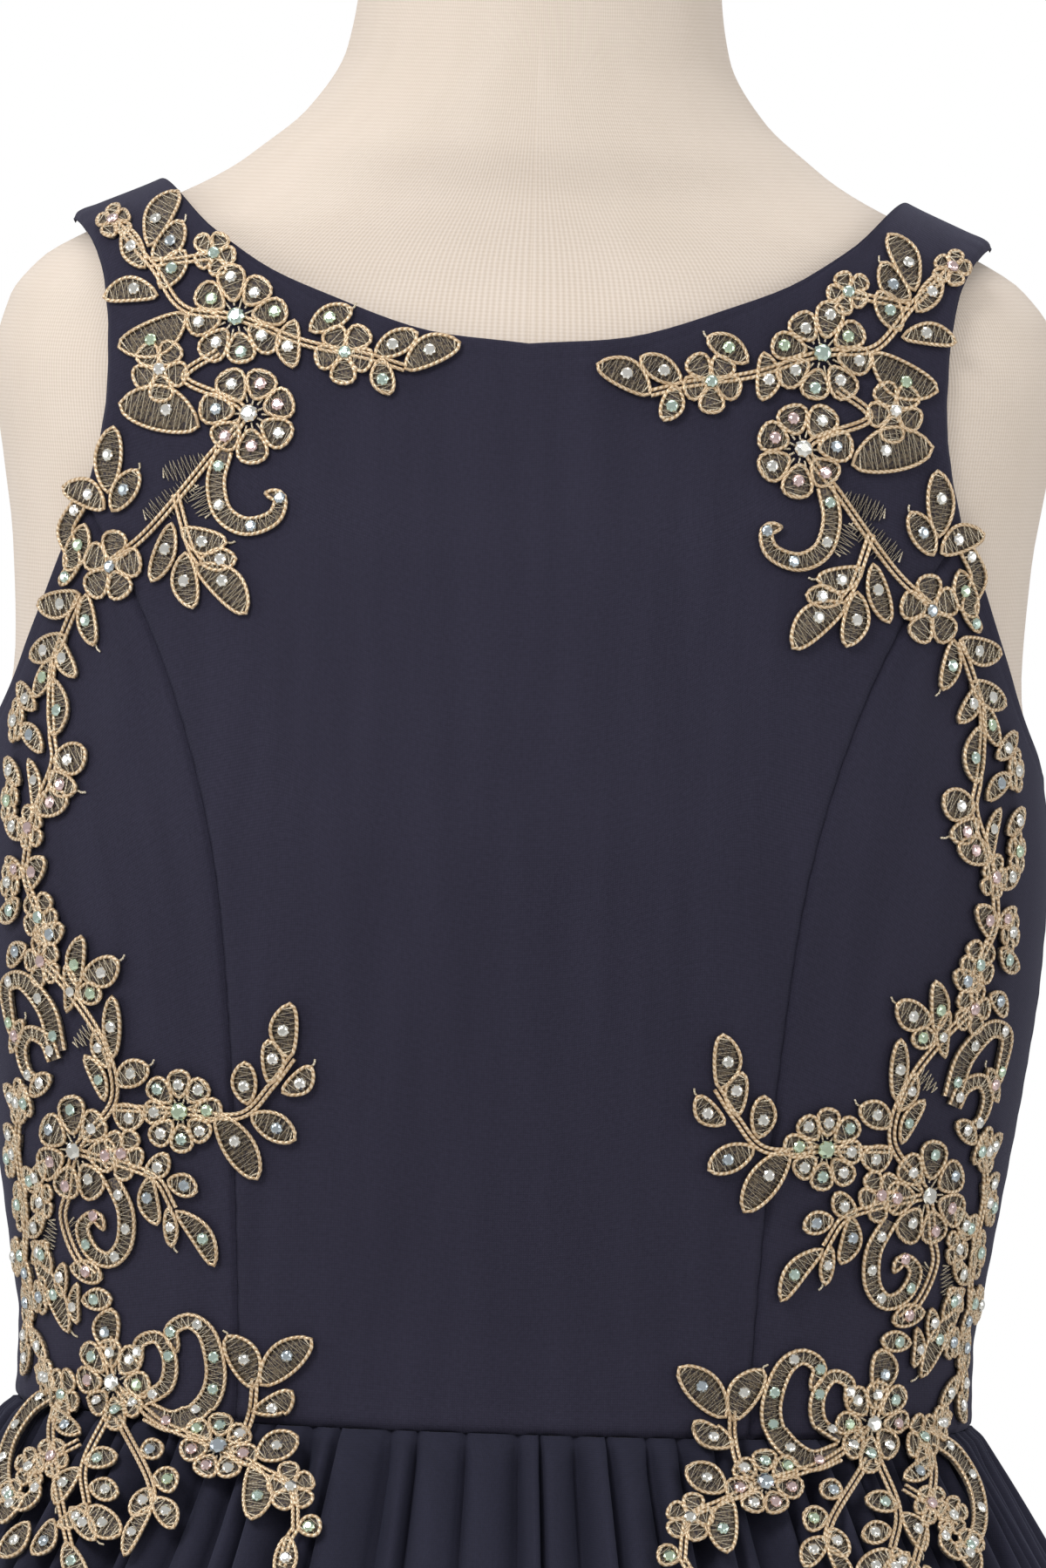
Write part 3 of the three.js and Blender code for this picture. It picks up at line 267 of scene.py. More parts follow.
def centre_back(v):
    return form.seen_from_front(0, WAIST_Z + (NECK_BACK_Z - WAIST_Z) * np.asarray(v, float), 1)


def grid_between(bottom, top, left, right, u, v):
    """Points stretched smoothly between four edges and settled on the form."""
    b, t, l, r = bottom(u)[None], top(u)[None], left(v)[:, None], right(v)[:, None]
    uu, vv = u[None, :, None], v[:, None, None]
    corners = ((1 - uu) * ((1 - vv) * b[:, :1] + vv * t[:, :1])
               + uu * ((1 - vv) * b[:, -1:] + vv * t[:, -1:]))
    return form.settle((1 - vv) * b + vv * t + (1 - uu) * l + uu * r - corners)


def close_at_ends(count, pull=0.75):
    """Shares from 0 to 1 that lie closer together near both ends."""
    t = np.linspace(0, 1, count)
    return t - pull * np.sin(2 * np.pi * t) / (2 * np.pi)


def run_lengths(grid, axis):
    """Distance of each point from the first and from the last one of its row or column."""
    steps = np.linalg.norm(np.diff(grid, axis=axis), axis=-1)
    shape = list(grid.shape[:2])
    run = np.zeros(shape)
    if axis == 1:
        run[:, 1:] = np.cumsum(steps, 1)
        return run, run[:, -1:] - run
    run[1:] = np.cumsum(steps, 0)
    return run, run[-1:] - run


# Piece making

def srgb(code):
    """A colour given as an sRGB hex value, as Blender's linear one."""
    parts = [int(code[i:i + 2], 16) / 255 for i in (1, 3, 5)]
    return tuple(c / 12.92 if c <= 0.04045 else ((c + 0.055) / 1.055) ** 2.4 for c in parts) + (1.0,)


def add_node(tree, kind, settings=None, inputs=None):
    """Adds a node with its settings, and its inputs as values or as links from other nodes' outputs."""
    made = tree.nodes.new(kind)
    for name, value in (settings or {}).items():
        setattr(made, name, value)
    for name, value in (inputs or {}).items():
        if isinstance(value, bpy.types.NodeSocket):
            tree.links.new(value, made.inputs[name])
        else:
            made.inputs[name].default_value = value
    return made


def placed_object(name, data):
    """A new object of the scene that shows the given data."""
    made = bpy.data.objects.new(name, data)
    bpy.context.scene.collection.objects.link(made)
    return made


def mesh_piece(name, points, faces, material, uv=None, smooth=True):
    """An object whose mesh is given in mm, with UVs in metres for each point."""
    mesh = bpy.data.meshes.new(name)
    mesh.from_pydata((np.asarray(points) * MM).tolist(), [], faces)
    if uv is not None:
        layer = mesh.uv_layers.new(name="cloth")
        corner = np.empty(len(mesh.loops), int)
        mesh.loops.foreach_get("vertex_index", corner)
        layer.data.foreach_set("uv", (np.asarray(uv)[corner] * MM).ravel())
    mesh.polygons.foreach_set("use_smooth", [smooth] * len(mesh.polygons))
    mesh.materials.append(material)
    mesh.update()
    return placed_object(name, mesh)


def weld(mesh, distance_mm, turn_out=False):
    """Joins the points that lie together and, where asked, turns every face outwards."""
    loose = bmesh.new()
    loose.from_mesh(mesh)
    bmesh.ops.remove_doubles(loose, verts=loose.verts, dist=distance_mm * MM)
    if turn_out:
        bmesh.ops.recalc_face_normals(loose, faces=loose.faces)
    loose.to_mesh(mesh)
    loose.free()


def shell_piece(name, inner, outer, material):
    """A closed sheet of cloth between an inner and an outer grid of points."""
    rows, columns = inner.shape[:2]
    at = np.arange(rows * columns).reshape(rows, columns)
    out = at + rows * columns

    def quads(a, b, c, d):
        return np.stack([a.ravel(), b.ravel(), c.ravel(), d.ravel()], -1)

    faces = np.vstack([
        quads(out[:-1, :-1], out[:-1, 1:], out[1:, 1:], out[1:, :-1]),
        quads(at[:-1, :-1], at[1:, :-1], at[1:, 1:], at[:-1, 1:]),
        quads(at[0, :-1], at[0, 1:], out[0, 1:], out[0, :-1]),
        quads(out[-1, :-1], out[-1, 1:], at[-1, 1:], at[-1, :-1]),
        quads(out[:-1, 0], out[1:, 0], at[1:, 0], at[:-1, 0]),
        quads(at[:-1, -1], at[1:, -1], out[1:, -1], out[:-1, -1]),
    ])
    across, _ = run_lengths(outer, 1)
    along, _ = run_lengths(outer, 0)
    middle = across[:, columns // 2][:, None]
    uv = np.stack([across - middle, np.broadcast_to(along[:, columns // 2][:, None], across.shape)], -1)
    uv = uv.reshape(-1, 2)
    points = np.vstack([inner.reshape(-1, 3), outer.reshape(-1, 3)])
    return mesh_piece(name, points, faces.tolist(), material, np.vstack([uv, uv]))


# Materials

# A wave texture of scale 1 has a band every 2 pi / 20 of a metre
BAND_PITCH = 0.314


class Finish:
    """A material in the making: its nodes, its shader and short ways to add the usual nodes."""

    def __init__(self, name, base, roughness, metallic=0.0, sockets=None):
        self.material = bpy.data.materials.new(name)
        self.material.use_nodes = True
        self.tree = self.material.node_tree
        self.shader = self.tree.nodes["Principled BSDF"]
        values = {"Base Color": srgb(base), "Roughness": roughness, "Metallic": metallic}
        for socket, value in (values | (sockets or {})).items():
            self.shader.inputs[socket].default_value = value

    def object_place(self):
        return add_node(self.tree, "ShaderNodeTexCoord").outputs["Object"]

    def cloth_map(self):
        return add_node(self.tree, "ShaderNodeUVMap", {"uv_map": "cloth"}).outputs["UV"]

    def attribute(self, name):
        return add_node(self.tree, "ShaderNodeAttribute", {"attribute_name": name}).outputs["Fac"]

    def noise(self, vector, size_mm, detail, roughness=0.5):
        return add_node(self.tree, "ShaderNodeTexNoise", None, {
            "Vector": vector, "Scale": 1 / (size_mm * MM), "Detail": detail,
            "Roughness": roughness}).outputs["Fac"]

    def ribs(self, vector, direction, pitch_mm, distortion, detail_scale):
        return add_node(self.tree, "ShaderNodeTexWave", {
            "wave_type": "BANDS", "bands_direction": direction}, {
            "Vector": vector, "Scale": BAND_PITCH / (pitch_mm * MM), "Distortion": distortion,
            "Detail": 2.0, "Detail Scale": detail_scale}).outputs["Fac"]

    def scaled(self, vector, scale):
        return add_node(self.tree, "ShaderNodeMapping", None, {"Vector": vector, "Scale": scale}).outputs[0]

    def maths(self, operation, *values):
        return add_node(self.tree, "ShaderNodeMath", {"operation": operation},
                        dict(enumerate(values))).outputs[0]

    def spread(self, value, low, high):
        """The value's place between low and high, from 0 to 1."""
        return add_node(self.tree, "ShaderNodeMapRange", None, {
            "Value": value, "From Min": low, "From Max": high}).outputs["Result"]

    def colour(self, share, dark, light):
        mix = add_node(self.tree, "ShaderNodeMix", {"data_type": "RGBA"}, {
            "Factor": share, 6: srgb(dark), 7: srgb(light)})
        self.tree.links.new(mix.outputs[2], self.shader.inputs["Base Color"])

    def bump(self, height, strength, depth_mm):
        made = add_node(self.tree, "ShaderNodeBump", None, {
            "Height": height, "Strength": strength, "Distance": depth_mm * MM})
        self.tree.links.new(made.outputs["Normal"], self.shader.inputs["Normal"])


def cloth_weave(name, dark, light, thread_mm, bump_mm, sheen, sheen_tint, slub_mm):
    """Woven cloth on its own UV map: warp and weft ribs, with slubs that vary the shade."""
    cloth = Finish(name, light, 0.88, sockets={
        "Specular IOR Level": 0.25, "Sheen Weight": sheen, "Sheen Roughness": 0.45,
        "Sheen Tint": srgb(sheen_tint)})
    uv = cloth.cloth_map()
    weave = cloth.maths("MULTIPLY", *(cloth.ribs(uv, way, thread_mm, 1.6, 0.35) for way in "XY"))
    grain = cloth.noise(uv, thread_mm * 1.7, 3.0, 0.6)
    slubs = cloth.noise(cloth.scaled(uv, (1.0, 0.12, 1.0)), slub_mm, 2.0)
    shade = cloth.maths("MULTIPLY_ADD", weave, 0.45, grain)
    shade = cloth.maths("MULTIPLY_ADD", slubs, 0.5, shade)
    cloth.colour(cloth.spread(shade, 0.55, 1.35), dark, light)
    cloth.bump(cloth.maths("ADD", weave, grain), 0.5, bump_mm)
    return cloth.material


def jersey_knit():
    """Cotton jersey: columns of stitches 1.15 mm apart, with courses 0.9 mm apart across them."""
    knit = Finish("cream_cotton_jersey", "#e7dac8", 0.92, sockets={
        "Sheen Weight": 0.15, "Specular IOR Level": 0.2})
    uv = knit.cloth_map()
    wales = knit.ribs(uv, "X", 1.15, 0.7, 0.2)
    courses = knit.ribs(uv, "Y", 0.9, 0.9, 0.3)
    stitches = knit.maths("MULTIPLY_ADD", courses, 0.35, knit.maths("MULTIPLY", wales, 0.65))
    shade = knit.maths("MULTIPLY_ADD", knit.noise(uv, 22, 2.0), 0.4, stitches)
    knit.colour(knit.spread(shade, 0.2, 1.1), "#d2c3b3", "#e2d5c9")
    knit.bump(stitches, 0.45, 0.25)
    return knit.material


def yarn_with_painted_turn_shade(name, dark, light, pitch_mm, metallic, roughness):
    """Metallic yarn wound round a core: slanting turns along the cord, with a painted highlight on each turn
    and painted shade in the grooves between them.
    """
    yarn = Finish(name, light, roughness, metallic)
    phase = yarn.maths("MULTIPLY_ADD", yarn.attribute("along"), 1 / (pitch_mm * MM), yarn.attribute("turn"))
    # The turns' wave shapes the bump and also the colour: a painted highlight on each turn and painted shade
    # between; the noise varies the tone at random
    wave = yarn.maths("SINE", yarn.maths("MULTIPLY", phase, 2 * math.pi))
    wear = yarn.noise(yarn.object_place(), 3.5, 2.0)
    shade = yarn.maths("MULTIPLY", yarn.spread(wave, -1.0, 0.6), wear)
    yarn.colour(yarn.spread(shade, 0.0, 0.6), dark, light)
    yarn.bump(wave, 0.4, 0.12)
    return yarn.material


def thread_ground():
    """Fine zigzag stitching on net: too close to part into threads, so it reads as dull gold over navy."""
    net = Finish("stitched_net_ground", "#3c3630", 0.75, 0.1)
    fine = net.noise(net.object_place(), 0.6, 2.0)
    net.colour(net.spread(fine, 0.4, 0.62), "#39333a", "#857762")
    net.bump(fine, 0.6, 0.2)
    return net.material


# Where each shade of the stones' coat starts, as a share of all the stones
CRYSTAL_SHADES = [(0.0, "#e6e5de"), (0.32, "#c6dacf"), (0.5, "#f0eee8"), (0.68, "#e0c6c4"),
                  (0.78, "#bcc6cd"), (0.9, "#cfe2c6")]


def coated_crystal():
    """Flat-backed crystal with a silvered back and an iridescent coat: clear, flashing green and rose."""
    stone = Finish("coated_foiled_crystal", "#c9cdca", 0.09, 0.9)
    ramp = add_node(stone.tree, "ShaderNodeValToRGB", None, {"Fac": stone.attribute("tint")})
    band = ramp.color_ramp
    band.interpolation = "CONSTANT"
    for index, (position, shade) in enumerate(CRYSTAL_SHADES):
        stop = band.elements[index] if index < 2 else band.elements.new(position)
        stop.position, stop.color = position, srgb(shade)
    stone.tree.links.new(ramp.outputs["Color"], stone.shader.inputs["Base Color"])
    return stone.material


def enamelled_metal():
    """Zip hardware in enamel dyed to the cloth: smooth and glossy, with faint dimples."""
    enamel = Finish("navy_enamelled_zinc", "#2b2b40", 0.32, sockets={"Coat Weight": 0.5})
    enamel.bump(enamel.noise(enamel.object_place(), 1.5, 1.0), 0.2, 0.05)
    return enamel.material


def varnished_beech():
    """Turned beech under satin varnish: pale brown with darker flecks of grain."""
    beech = Finish("varnished_beech", "#c9a478", 0.38, sockets={"Coat Weight": 0.3})
    grain = beech.noise(beech.scaled(beech.object_place(), (1.0, 0.2, 1.0)), 3, 4.0, 0.65)
    beech.colour(beech.spread(grain, 0.35, 0.65), "#a97f52", "#d3b083")
    return beech.material


def satin_steel():
    """Brushed steel: fine rings from the lathe, soft highlights."""
    steel = Finish("brushed_stand_steel", "#8f9194", 0.34, 1.0)
    steel.bump(steel.noise(steel.scaled(steel.object_place(), (1.0, 1.0, 30.0)), 6, 3.0), 0.15, 0.1)
    return steel.material


# Polyester crepe: twisted yarns give a matt, finely pebbled face. Its threads are under 0.2 mm, too fine
# to show, so they are drawn at 0.55 mm.
crepe = cloth_weave("navy_polyester_crepe", "#22202f", "#302e3f", 0.55, 0.10, 0.18, "#8285a0", 9)
# Chiffon over lining: thinner and smoother, a little bluer, with long faint slubs down the drop.
chiffon = cloth_weave("navy_chiffon", "#1f1f2d", "#2a2a3b", 0.5, 0.06, 0.22, "#8086a6", 5)
jersey = jersey_knit()
# Each yarn's light colour is its painted highlight on the turns, its dark colour the painted shade between
# them
gold_cord = yarn_with_painted_turn_shade("antique_gold_cord", "#b0916b", "#f0dabb", 1.4, 0.5, 0.33)
gold_thread = yarn_with_painted_turn_shade("antique_gold_thread", "#b5a486", "#f7ecd6", 0.8, 0.15, 0.4)
stitched_net = thread_ground()
crystal = coated_crystal()


def keep(piece, slot, *nodes):
    """The piece rides with the dress and stands for the given nodes, which are hidden; the slot is not used.
    """
    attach(piece, RIDES_ON)
    if nodes:
        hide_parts(*nodes)
    return piece


# The bodice

# Lengths in mm across a seam: its dip, the ridge beside it and the pucker that its stitches pull
SEAM_DIP, SEAM_DIP_WIDTH = 1.0, 0.9
SEAM_RIDGE, SEAM_RIDGE_FROM_SEAM, SEAM_RIDGE_WIDTH = 0.22, 3.2, 2.0
PUCKER, PUCKER_PITCH, PUCKER_WIDTH = 0.10, 9, 5
# A folded edge: how far in it is rounded, and its line of topstitching
FOLD_WIDTH, FOLD_SHARE = 1.1, 0.8
TOPSTITCH, TOPSTITCH_FROM_EDGE, TOPSTITCH_WIDTH = 0.12, 4.5, 0.9
# How far in from its seams a panel's slack starts
SLACK_FROM_SEAM = 12


def bell(distance, width):
    return np.exp(-(distance / width) ** 2)


def seam_line(distance, along, phase):
    """How far the cloth dips into a seam, with the slight pucker that its stitches pull."""
    wave = np.sin(2 * np.pi * along / PUCKER_PITCH + phase + 1.3 * np.sin(along / 17))
    return (-SEAM_DIP * bell(distance, SEAM_DIP_WIDTH)
            + SEAM_RIDGE * bell(distance - SEAM_RIDGE_FROM_SEAM, SEAM_RIDGE_WIDTH)
            + PUCKER * wave * bell(distance, PUCKER_WIDTH))


def turned_edge(distance):
    """How far the outer face falls to the inner one round a folded edge."""
    inside = np.clip(distance / FOLD_WIDTH, 0, 1)
    fold = -CLOTH * FOLD_SHARE * (1 - np.sqrt(1 - (1 - inside) ** 2))
    return fold - TOPSTITCH * bell(distance - TOPSTITCH_FROM_EDGE, TOPSTITCH_WIDTH)


def soft_folds(p):
    """Slack in the worn cloth: faint drag lines towards the bust and a fold under each armhole."""
    x, z = np.abs(p[..., 0]), p[..., 2]
    under_arm = smoothstep(z, 915, 935) * (1 - smoothstep(z, 958, 972))
    fold = 0.9 * bell(x - 92 + (z - 950) * 0.12, 4.5) * under_arm
    drag = 0.25 * np.sin((p[..., 0] * 0.9 + z * 0.55) / 17) * bell(z - 800, 70)
    slow = 0.30 * np.sin(p[..., 0] / 31 + 1.2) * np.sin(z / 43)
    return fold + drag + slow


def bodice_panel(name, grid):
    """A bodice panel of cloth, seamed at both sides and the bottom and folded in at the top."""
    left, right = run_lengths(grid, 1)
    bottom, top = run_lengths(grid, 0)
    relief = soft_folds(grid) * smoothstep(np.minimum.reduce([left, right, top, bottom]), 0, SLACK_FROM_SEAM)
    for index, (distance, along) in enumerate(((left, bottom), (right, bottom), (bottom, left))):
        relief = relief + seam_line(distance, along, index * 2.1)
    outer = off_form(grid, SHELL + relief + turned_edge(top))
    inner = off_form(grid, np.full(grid.shape[:2], EASE))
    return shell_piece(name, inner, outer, crepe)


# Share of a panel's long edge that is sewn, the rest being its armhole, and of its top on a strap
SEAM_SHARE_FRONT, SEAM_SHARE_BACK = 9 / 14, 9 / 16
STRAP_SHARE_FRONT, STRAP_SHARE_BACK = 4 / 14, 2 / 9


def front_centre_grid():
    right = in_two(princess, front_armhole_upper, SEAM_SHARE_FRONT)
    on_strap = 1 - STRAP_SHARE_FRONT

    def half_top(t):
        t = np.asarray(t, float)
        neck = front_neckline(np.clip(t / on_strap, 0, 1))
        strap = strap_top(np.clip((t - on_strap) / (1 - on_strap), 0, 1))
        return np.where((t > on_strap)[..., None], strap, neck)

    def top(u):
        u = np.asarray(u, float)
        half = half_top(np.abs(2 * u - 1))
        return np.where((u < 0.5)[..., None], mirrored(half), half)

    def bottom(u):
        return form.seen_from_front((2 * u - 1) * PRINCESS_SEAM[0][0], WAIST_Z)

    return grid_between(bottom, top, lambda v: mirrored(right(v)), right,
                        close_at_ends(131), close_at_ends(151))


def side_front_grid():
    across = PRINCESS_SEAM[0][0] / form.half(WAIST_Z)
    start = math.degrees(math.asin(across ** (TORSO_POWER / 2)))
    return grid_between(lambda u: form.at_angle(start + (90 - start) * u, WAIST_Z), front_armhole_lower,
                        princess, side_seam, close_at_ends(67), close_at_ends(111))


def back_grid():
    def top(u):
        u = np.asarray(u, float)
        strap = strap_top(np.clip(1 - u / STRAP_SHARE_BACK, 0, 1))
        neck = back_neckline(np.clip(1 - (u - STRAP_SHARE_BACK) / (1 - STRAP_SHARE_BACK), 0, 1))
        return np.where((u < STRAP_SHARE_BACK)[..., None], strap, neck)

    return grid_between(lambda u: form.at_angle(90 + 90 * u, WAIST_Z), top,
                        in_two(side_seam, back_armhole, SEAM_SHARE_BACK), centre_back,
                        close_at_ends(85), close_at_ends(131))


def flipped(grid):
    return mirrored(grid[:, ::-1])


side_grid, rear_grid = side_front_grid(), back_grid()
# Each panel's grid, then its cut in metres: width and length, and area
PANELS = {
    "front_centre": (front_centre_grid(), (0.22, 0.31), 0.049),
    "side_front_left": (side_grid, (0.13, 0.23), 0.0195),
    "side_front_right": (flipped(side_grid), (0.13, 0.23), 0.0195),
    "back_left": (rear_grid, (0.22, 0.32), 0.042),
    "back_right": (flipped(rear_grid), (0.22, 0.32), 0.042),
}
for name, (grid, flat, area) in PANELS.items():
    piece = keep(bodice_panel(f"{name}_cloth", grid), "bodice_crepe", name)


# The skirt

STEPS_PER_GATHER, SKIRT_ROWS = 10, 96
# Lengths in mm: the faint ripples, then the height or depth of each rib, its place and its width
RIPPLE = 0.8
WAIST_ROLL, WAIST_ROLL_WIDTH = 1.2, 1.6
HEM_BULGE, HEM_BULGE_UP, HEM_BULGE_WIDTH = 0.5, 2, 2.5
HEM_STITCH, HEM_STITCH_UP, HEM_STITCH_WIDTH = 0.35, 8, 1.2

skirt_curves = {name: curve_through(SKIRT_SECTIONS, column)
                for name, column in (("half", 1), ("front", 2), ("back", 3), ("gather", 4), ("fold", 5))}


def wobble(k):
    return np.sin(k * 2.39) * 0.6 + np.sin(k * 5.13 + 1) * 0.4


def crease_at(k):
    if k % (GATHERS // 4) == 0 and k != 0:
        return float(k)
    return k + FRONT_CREASE_SHIFTS.get(k, CREASE_JITTER * wobble(k))


def skirt_columns(first, last, steps):
    """Where each column stands round the skirt and up its gather, with sharp creases and round crests."""
    turn, height, crest = [], [], []
    for k in range(first, last):
        start, end = crease_at(k), crease_at(k + 1)
        top = 0.62 + 0.38 * wobble(k * 3)
        skew = 2.0 ** (1.1 * math.sin(k * 3.7 + 1))
        for step in range(steps):
            s = step / steps
            turn.append((start + (end - start) * s) / GATHERS)
            height.append(-1 + (1 + top) * abs(math.sin(math.pi * s ** skew)) ** 0.55)
            crest.append(k)
    turn.append(crease_at(last) / GATHERS)
    height.append(-1.0)
    crest.append(last)
    return np.array(turn), np.array(height), np.array(crest)


def skirt_grid(first, last, steps, rows, inwards):
    turn, height, crest = skirt_columns(first, last, steps)
    t = np.linspace(0, 1, rows)
    z = (HEM_Z + (WAIST_Z - WAIST_JOIN - HEM_Z) * (1 - (1 - t) ** 2.4))[:, None]
    angle = turn[None, :] * 2 * np.pi
    drop = (WAIST_Z - z) / (WAIST_Z - HEM_Z)
    # Each gather runs out at its own height below the waist
    reach = 1 - smoothstep(drop, 0.10 + 0.10 * (1 + wobble(crest * 1.7))[None, :], 0.75)
    phase = FOLDS * angle + 0.9 * np.sin(3 * angle + 0.7) + 0.5 * np.sin(7 * angle)
    size = 0.8 + 0.2 * np.sin(5 * angle + 2)
    fold = size * (0.5 - 0.5 * np.cos(phase)) ** 0.8
    gather = skirt_curves["gather"](z) * (0.5 - 0.5 * height[None, :])
    gather = gather * (0.45 + 0.55 * reach) * (1 + 0.6 * (1 - smoothstep(drop, 0, 0.12)))
    ripple = np.sin(angle * 63 + 4 * drop + np.sin(angle * 9))
    ripple = RIPPLE * smoothstep(drop, 0.02, 0.2) * ripple * (1 - 0.6 * drop)
    depth = gather + skirt_curves["fold"](z) * fold + ripple + inwards
    # The cloth rolls over the waist seam, and is turned up into a narrow hem
    roll = WAIST_ROLL * bell(WAIST_Z - z, WAIST_ROLL_WIDTH)
    hem = (HEM_STITCH * bell(z - HEM_Z - HEM_STITCH_UP, HEM_STITCH_WIDTH)
           - HEM_BULGE * bell(z - HEM_Z - HEM_BULGE_UP, HEM_BULGE_WIDTH))
    depth = depth + roll + hem
    s, c = np.sin(angle), np.cos(angle)
    flat = 2 / SKIRT_POWER
    front = np.where(c > 0, skirt_curves["front"](z), skirt_curves["back"](z))
    x = (skirt_curves["half"](z) - depth) * np.sign(s) * np.abs(s) ** flat
    y = -(front - depth) * np.sign(c) * np.abs(c) ** flat
    return np.stack([x, y, np.broadcast_to(z, x.shape)], -1)


def skirt_piece(name, first, last):
    inner, outer = (skirt_grid(first, last, STEPS_PER_GATHER, SKIRT_ROWS, inwards)
                    for inwards in (GATHER_CLOTH * 0.6, 0.0))
    for grid in (inner, outer):
        for edge, next_to in ((0, 1), (-1, -2)):
            step = grid[:, next_to] - grid[:, edge]
            grid[:, edge] += step * (SEAM_GAP / 2 / np.linalg.norm(step, axis=-1))[:, None]
    return shell_piece(name, inner, outer, chiffon)


SKIRT_CUTS = {"skirt_front": (-22, 22, (1.2, 0.76), 0.68),
              "skirt_back_left": (22, 44, (0.6, 0.76), 0.34),
              "skirt_back_right": (44, 66, (0.6, 0.76), 0.34)}
for name, (first, last, flat, area) in SKIRT_CUTS.items():
    piece = keep(skirt_piece(f"{name}_cloth", first, last), "skirt_chiffon", name)


# The dress form and its stand

# How far the cover lies inside the form's outline, and how much further under the straps
COVER_INSET, SHOULDER_INSET = 0.5, 2.8
# The width of the cover's knit all round, for its stitches, and its flat sides
COVER_GIRTH, COVER_SIDES = 700, 144


def form_cover():
    """The torso under its knitted cover, with rings closed at both ends."""
    levels = np.concatenate([np.linspace(556, 580, 10, endpoint=False),
                             np.linspace(580, 1010, 80, endpoint=False), np.linspace(1010, NECK_TOP_Z, 60)])
    degrees = np.arange(COVER_SIDES + 1) * 360 / COVER_SIDES
    p = form.at_angle(degrees[None, :], levels[:, None])
    under_straps = smoothstep(levels, 1020, 1045) * (1 - smoothstep(levels, 1063, 1078))
    inset = (COVER_INSET + SHOULDER_INSET * under_straps)[:, None]
    p[..., :2] *= (1 - inset / np.linalg.norm(p[..., :2], axis=-1))[..., None]
    rows, columns = p.shape[:2]
    at = np.arange(rows * columns).reshape(rows, columns)
    quads = np.stack([at[:-1, :-1].ravel(), at[:-1, 1:].ravel(), at[1:, 1:].ravel(), at[1:, :-1].ravel()], -1)
    faces, points = quads.tolist(), p.reshape(-1, 3).tolist()
    across = degrees[None, :] / 360 * COVER_GIRTH
    uv = np.stack(np.broadcast_arrays(across, levels[:, None]), -1).reshape(-1, 2).tolist()
    for row, z in ((0, levels[0]), (rows - 1, levels[-1])):
        centre = len(points)
        points.append([0, 0, z])
        uv.append([0, z])
        for i in range(columns - 1):
            pair = (at[row, i + 1], at[row, i]) if row == 0 else (at[row, i], at[row, i + 1])
            faces.append([centre, int(pair[0]), int(pair[1])])
    cover = mesh_piece("form_cover", points, faces, jersey, uv)
    weld(cover.data, 0.02)
    return cover


def turned_piece(name, outline, material, sides=96):
    """A turned piece from its outline of radius and height, which starts and ends on the axis."""
    points, faces, rings = [], [], []
    for radius, z in outline:
        if radius == 0:
            points.append((0, 0, z))
            rings.append([len(points) - 1] * sides)
            continue
        rings.append(list(range(len(points), len(points) + sides)))
        points += [(radius * math.cos(2 * math.pi * i / sides), radius * math.sin(2 * math.pi * i / sides), z)
                   for i in range(sides)]
    for low, high in zip(rings, rings[1:]):
        for i in range(sides):
            quad = [low[i], low[(i + 1) % sides], high[(i + 1) % sides], high[i]]
            faces.append(list(dict.fromkeys(quad)))
    piece = mesh_piece(name, points, faces, material)
    piece.data.set_sharp_from_angle(angle=math.radians(35))
    return piece


keep(form_cover(), "form_jersey", "form_torso")
cap_foot = NECK_TOP_Z + SEAM_GAP
cap_outline = [(0, 0), (43, 0), (44.1, 0.6), (44.5, 2), (44.5, 7), (43.6, 8.6), (41.5, 9.8), (38, 11),
               (30, 12.4), (20, 13.2), (10, 13.8), (0, 14)]
keep(turned_piece("form_neck_cap_turned", [(r, cap_foot + z) for r, z in cap_outline], varnished_beech()),
     "turned_wood", "form_neck_cap")
steel = satin_steel()
pole_outline = [(0, 10.3), (22, 10.3), (22, 31.5), (20.5, 33.2), (13.6, 37.6), (12.5, 38.3),
                (12.5, 555.7), (0, 555.7)]
keep(turned_piece("form_pole_turned", pole_outline, steel), "stand_steel", "form_pole")
plate_outline = [(0, 0), (165, 0), (165, 8), (164.4, 9.3), (163, 10), (0, 10)]
keep(turned_piece("form_base_turned", plate_outline, steel, 160), "stand_steel", "form_base")
enamel = enamelled_metal()
for name in ("zip_slider", "zip_pull"):
    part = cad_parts[name]
    part.data.materials.clear()
    part.data.materials.append(enamel)


# The lace, as it looks from the front on one side: distance from the centre and height in mm, in a
# view that leans by the angle below, in radians
LEAN = 0.0332
LEAN_CENTRE = (2.1, 923)
SIDE_DROP = {"left": 4.0, "right": 0.0}

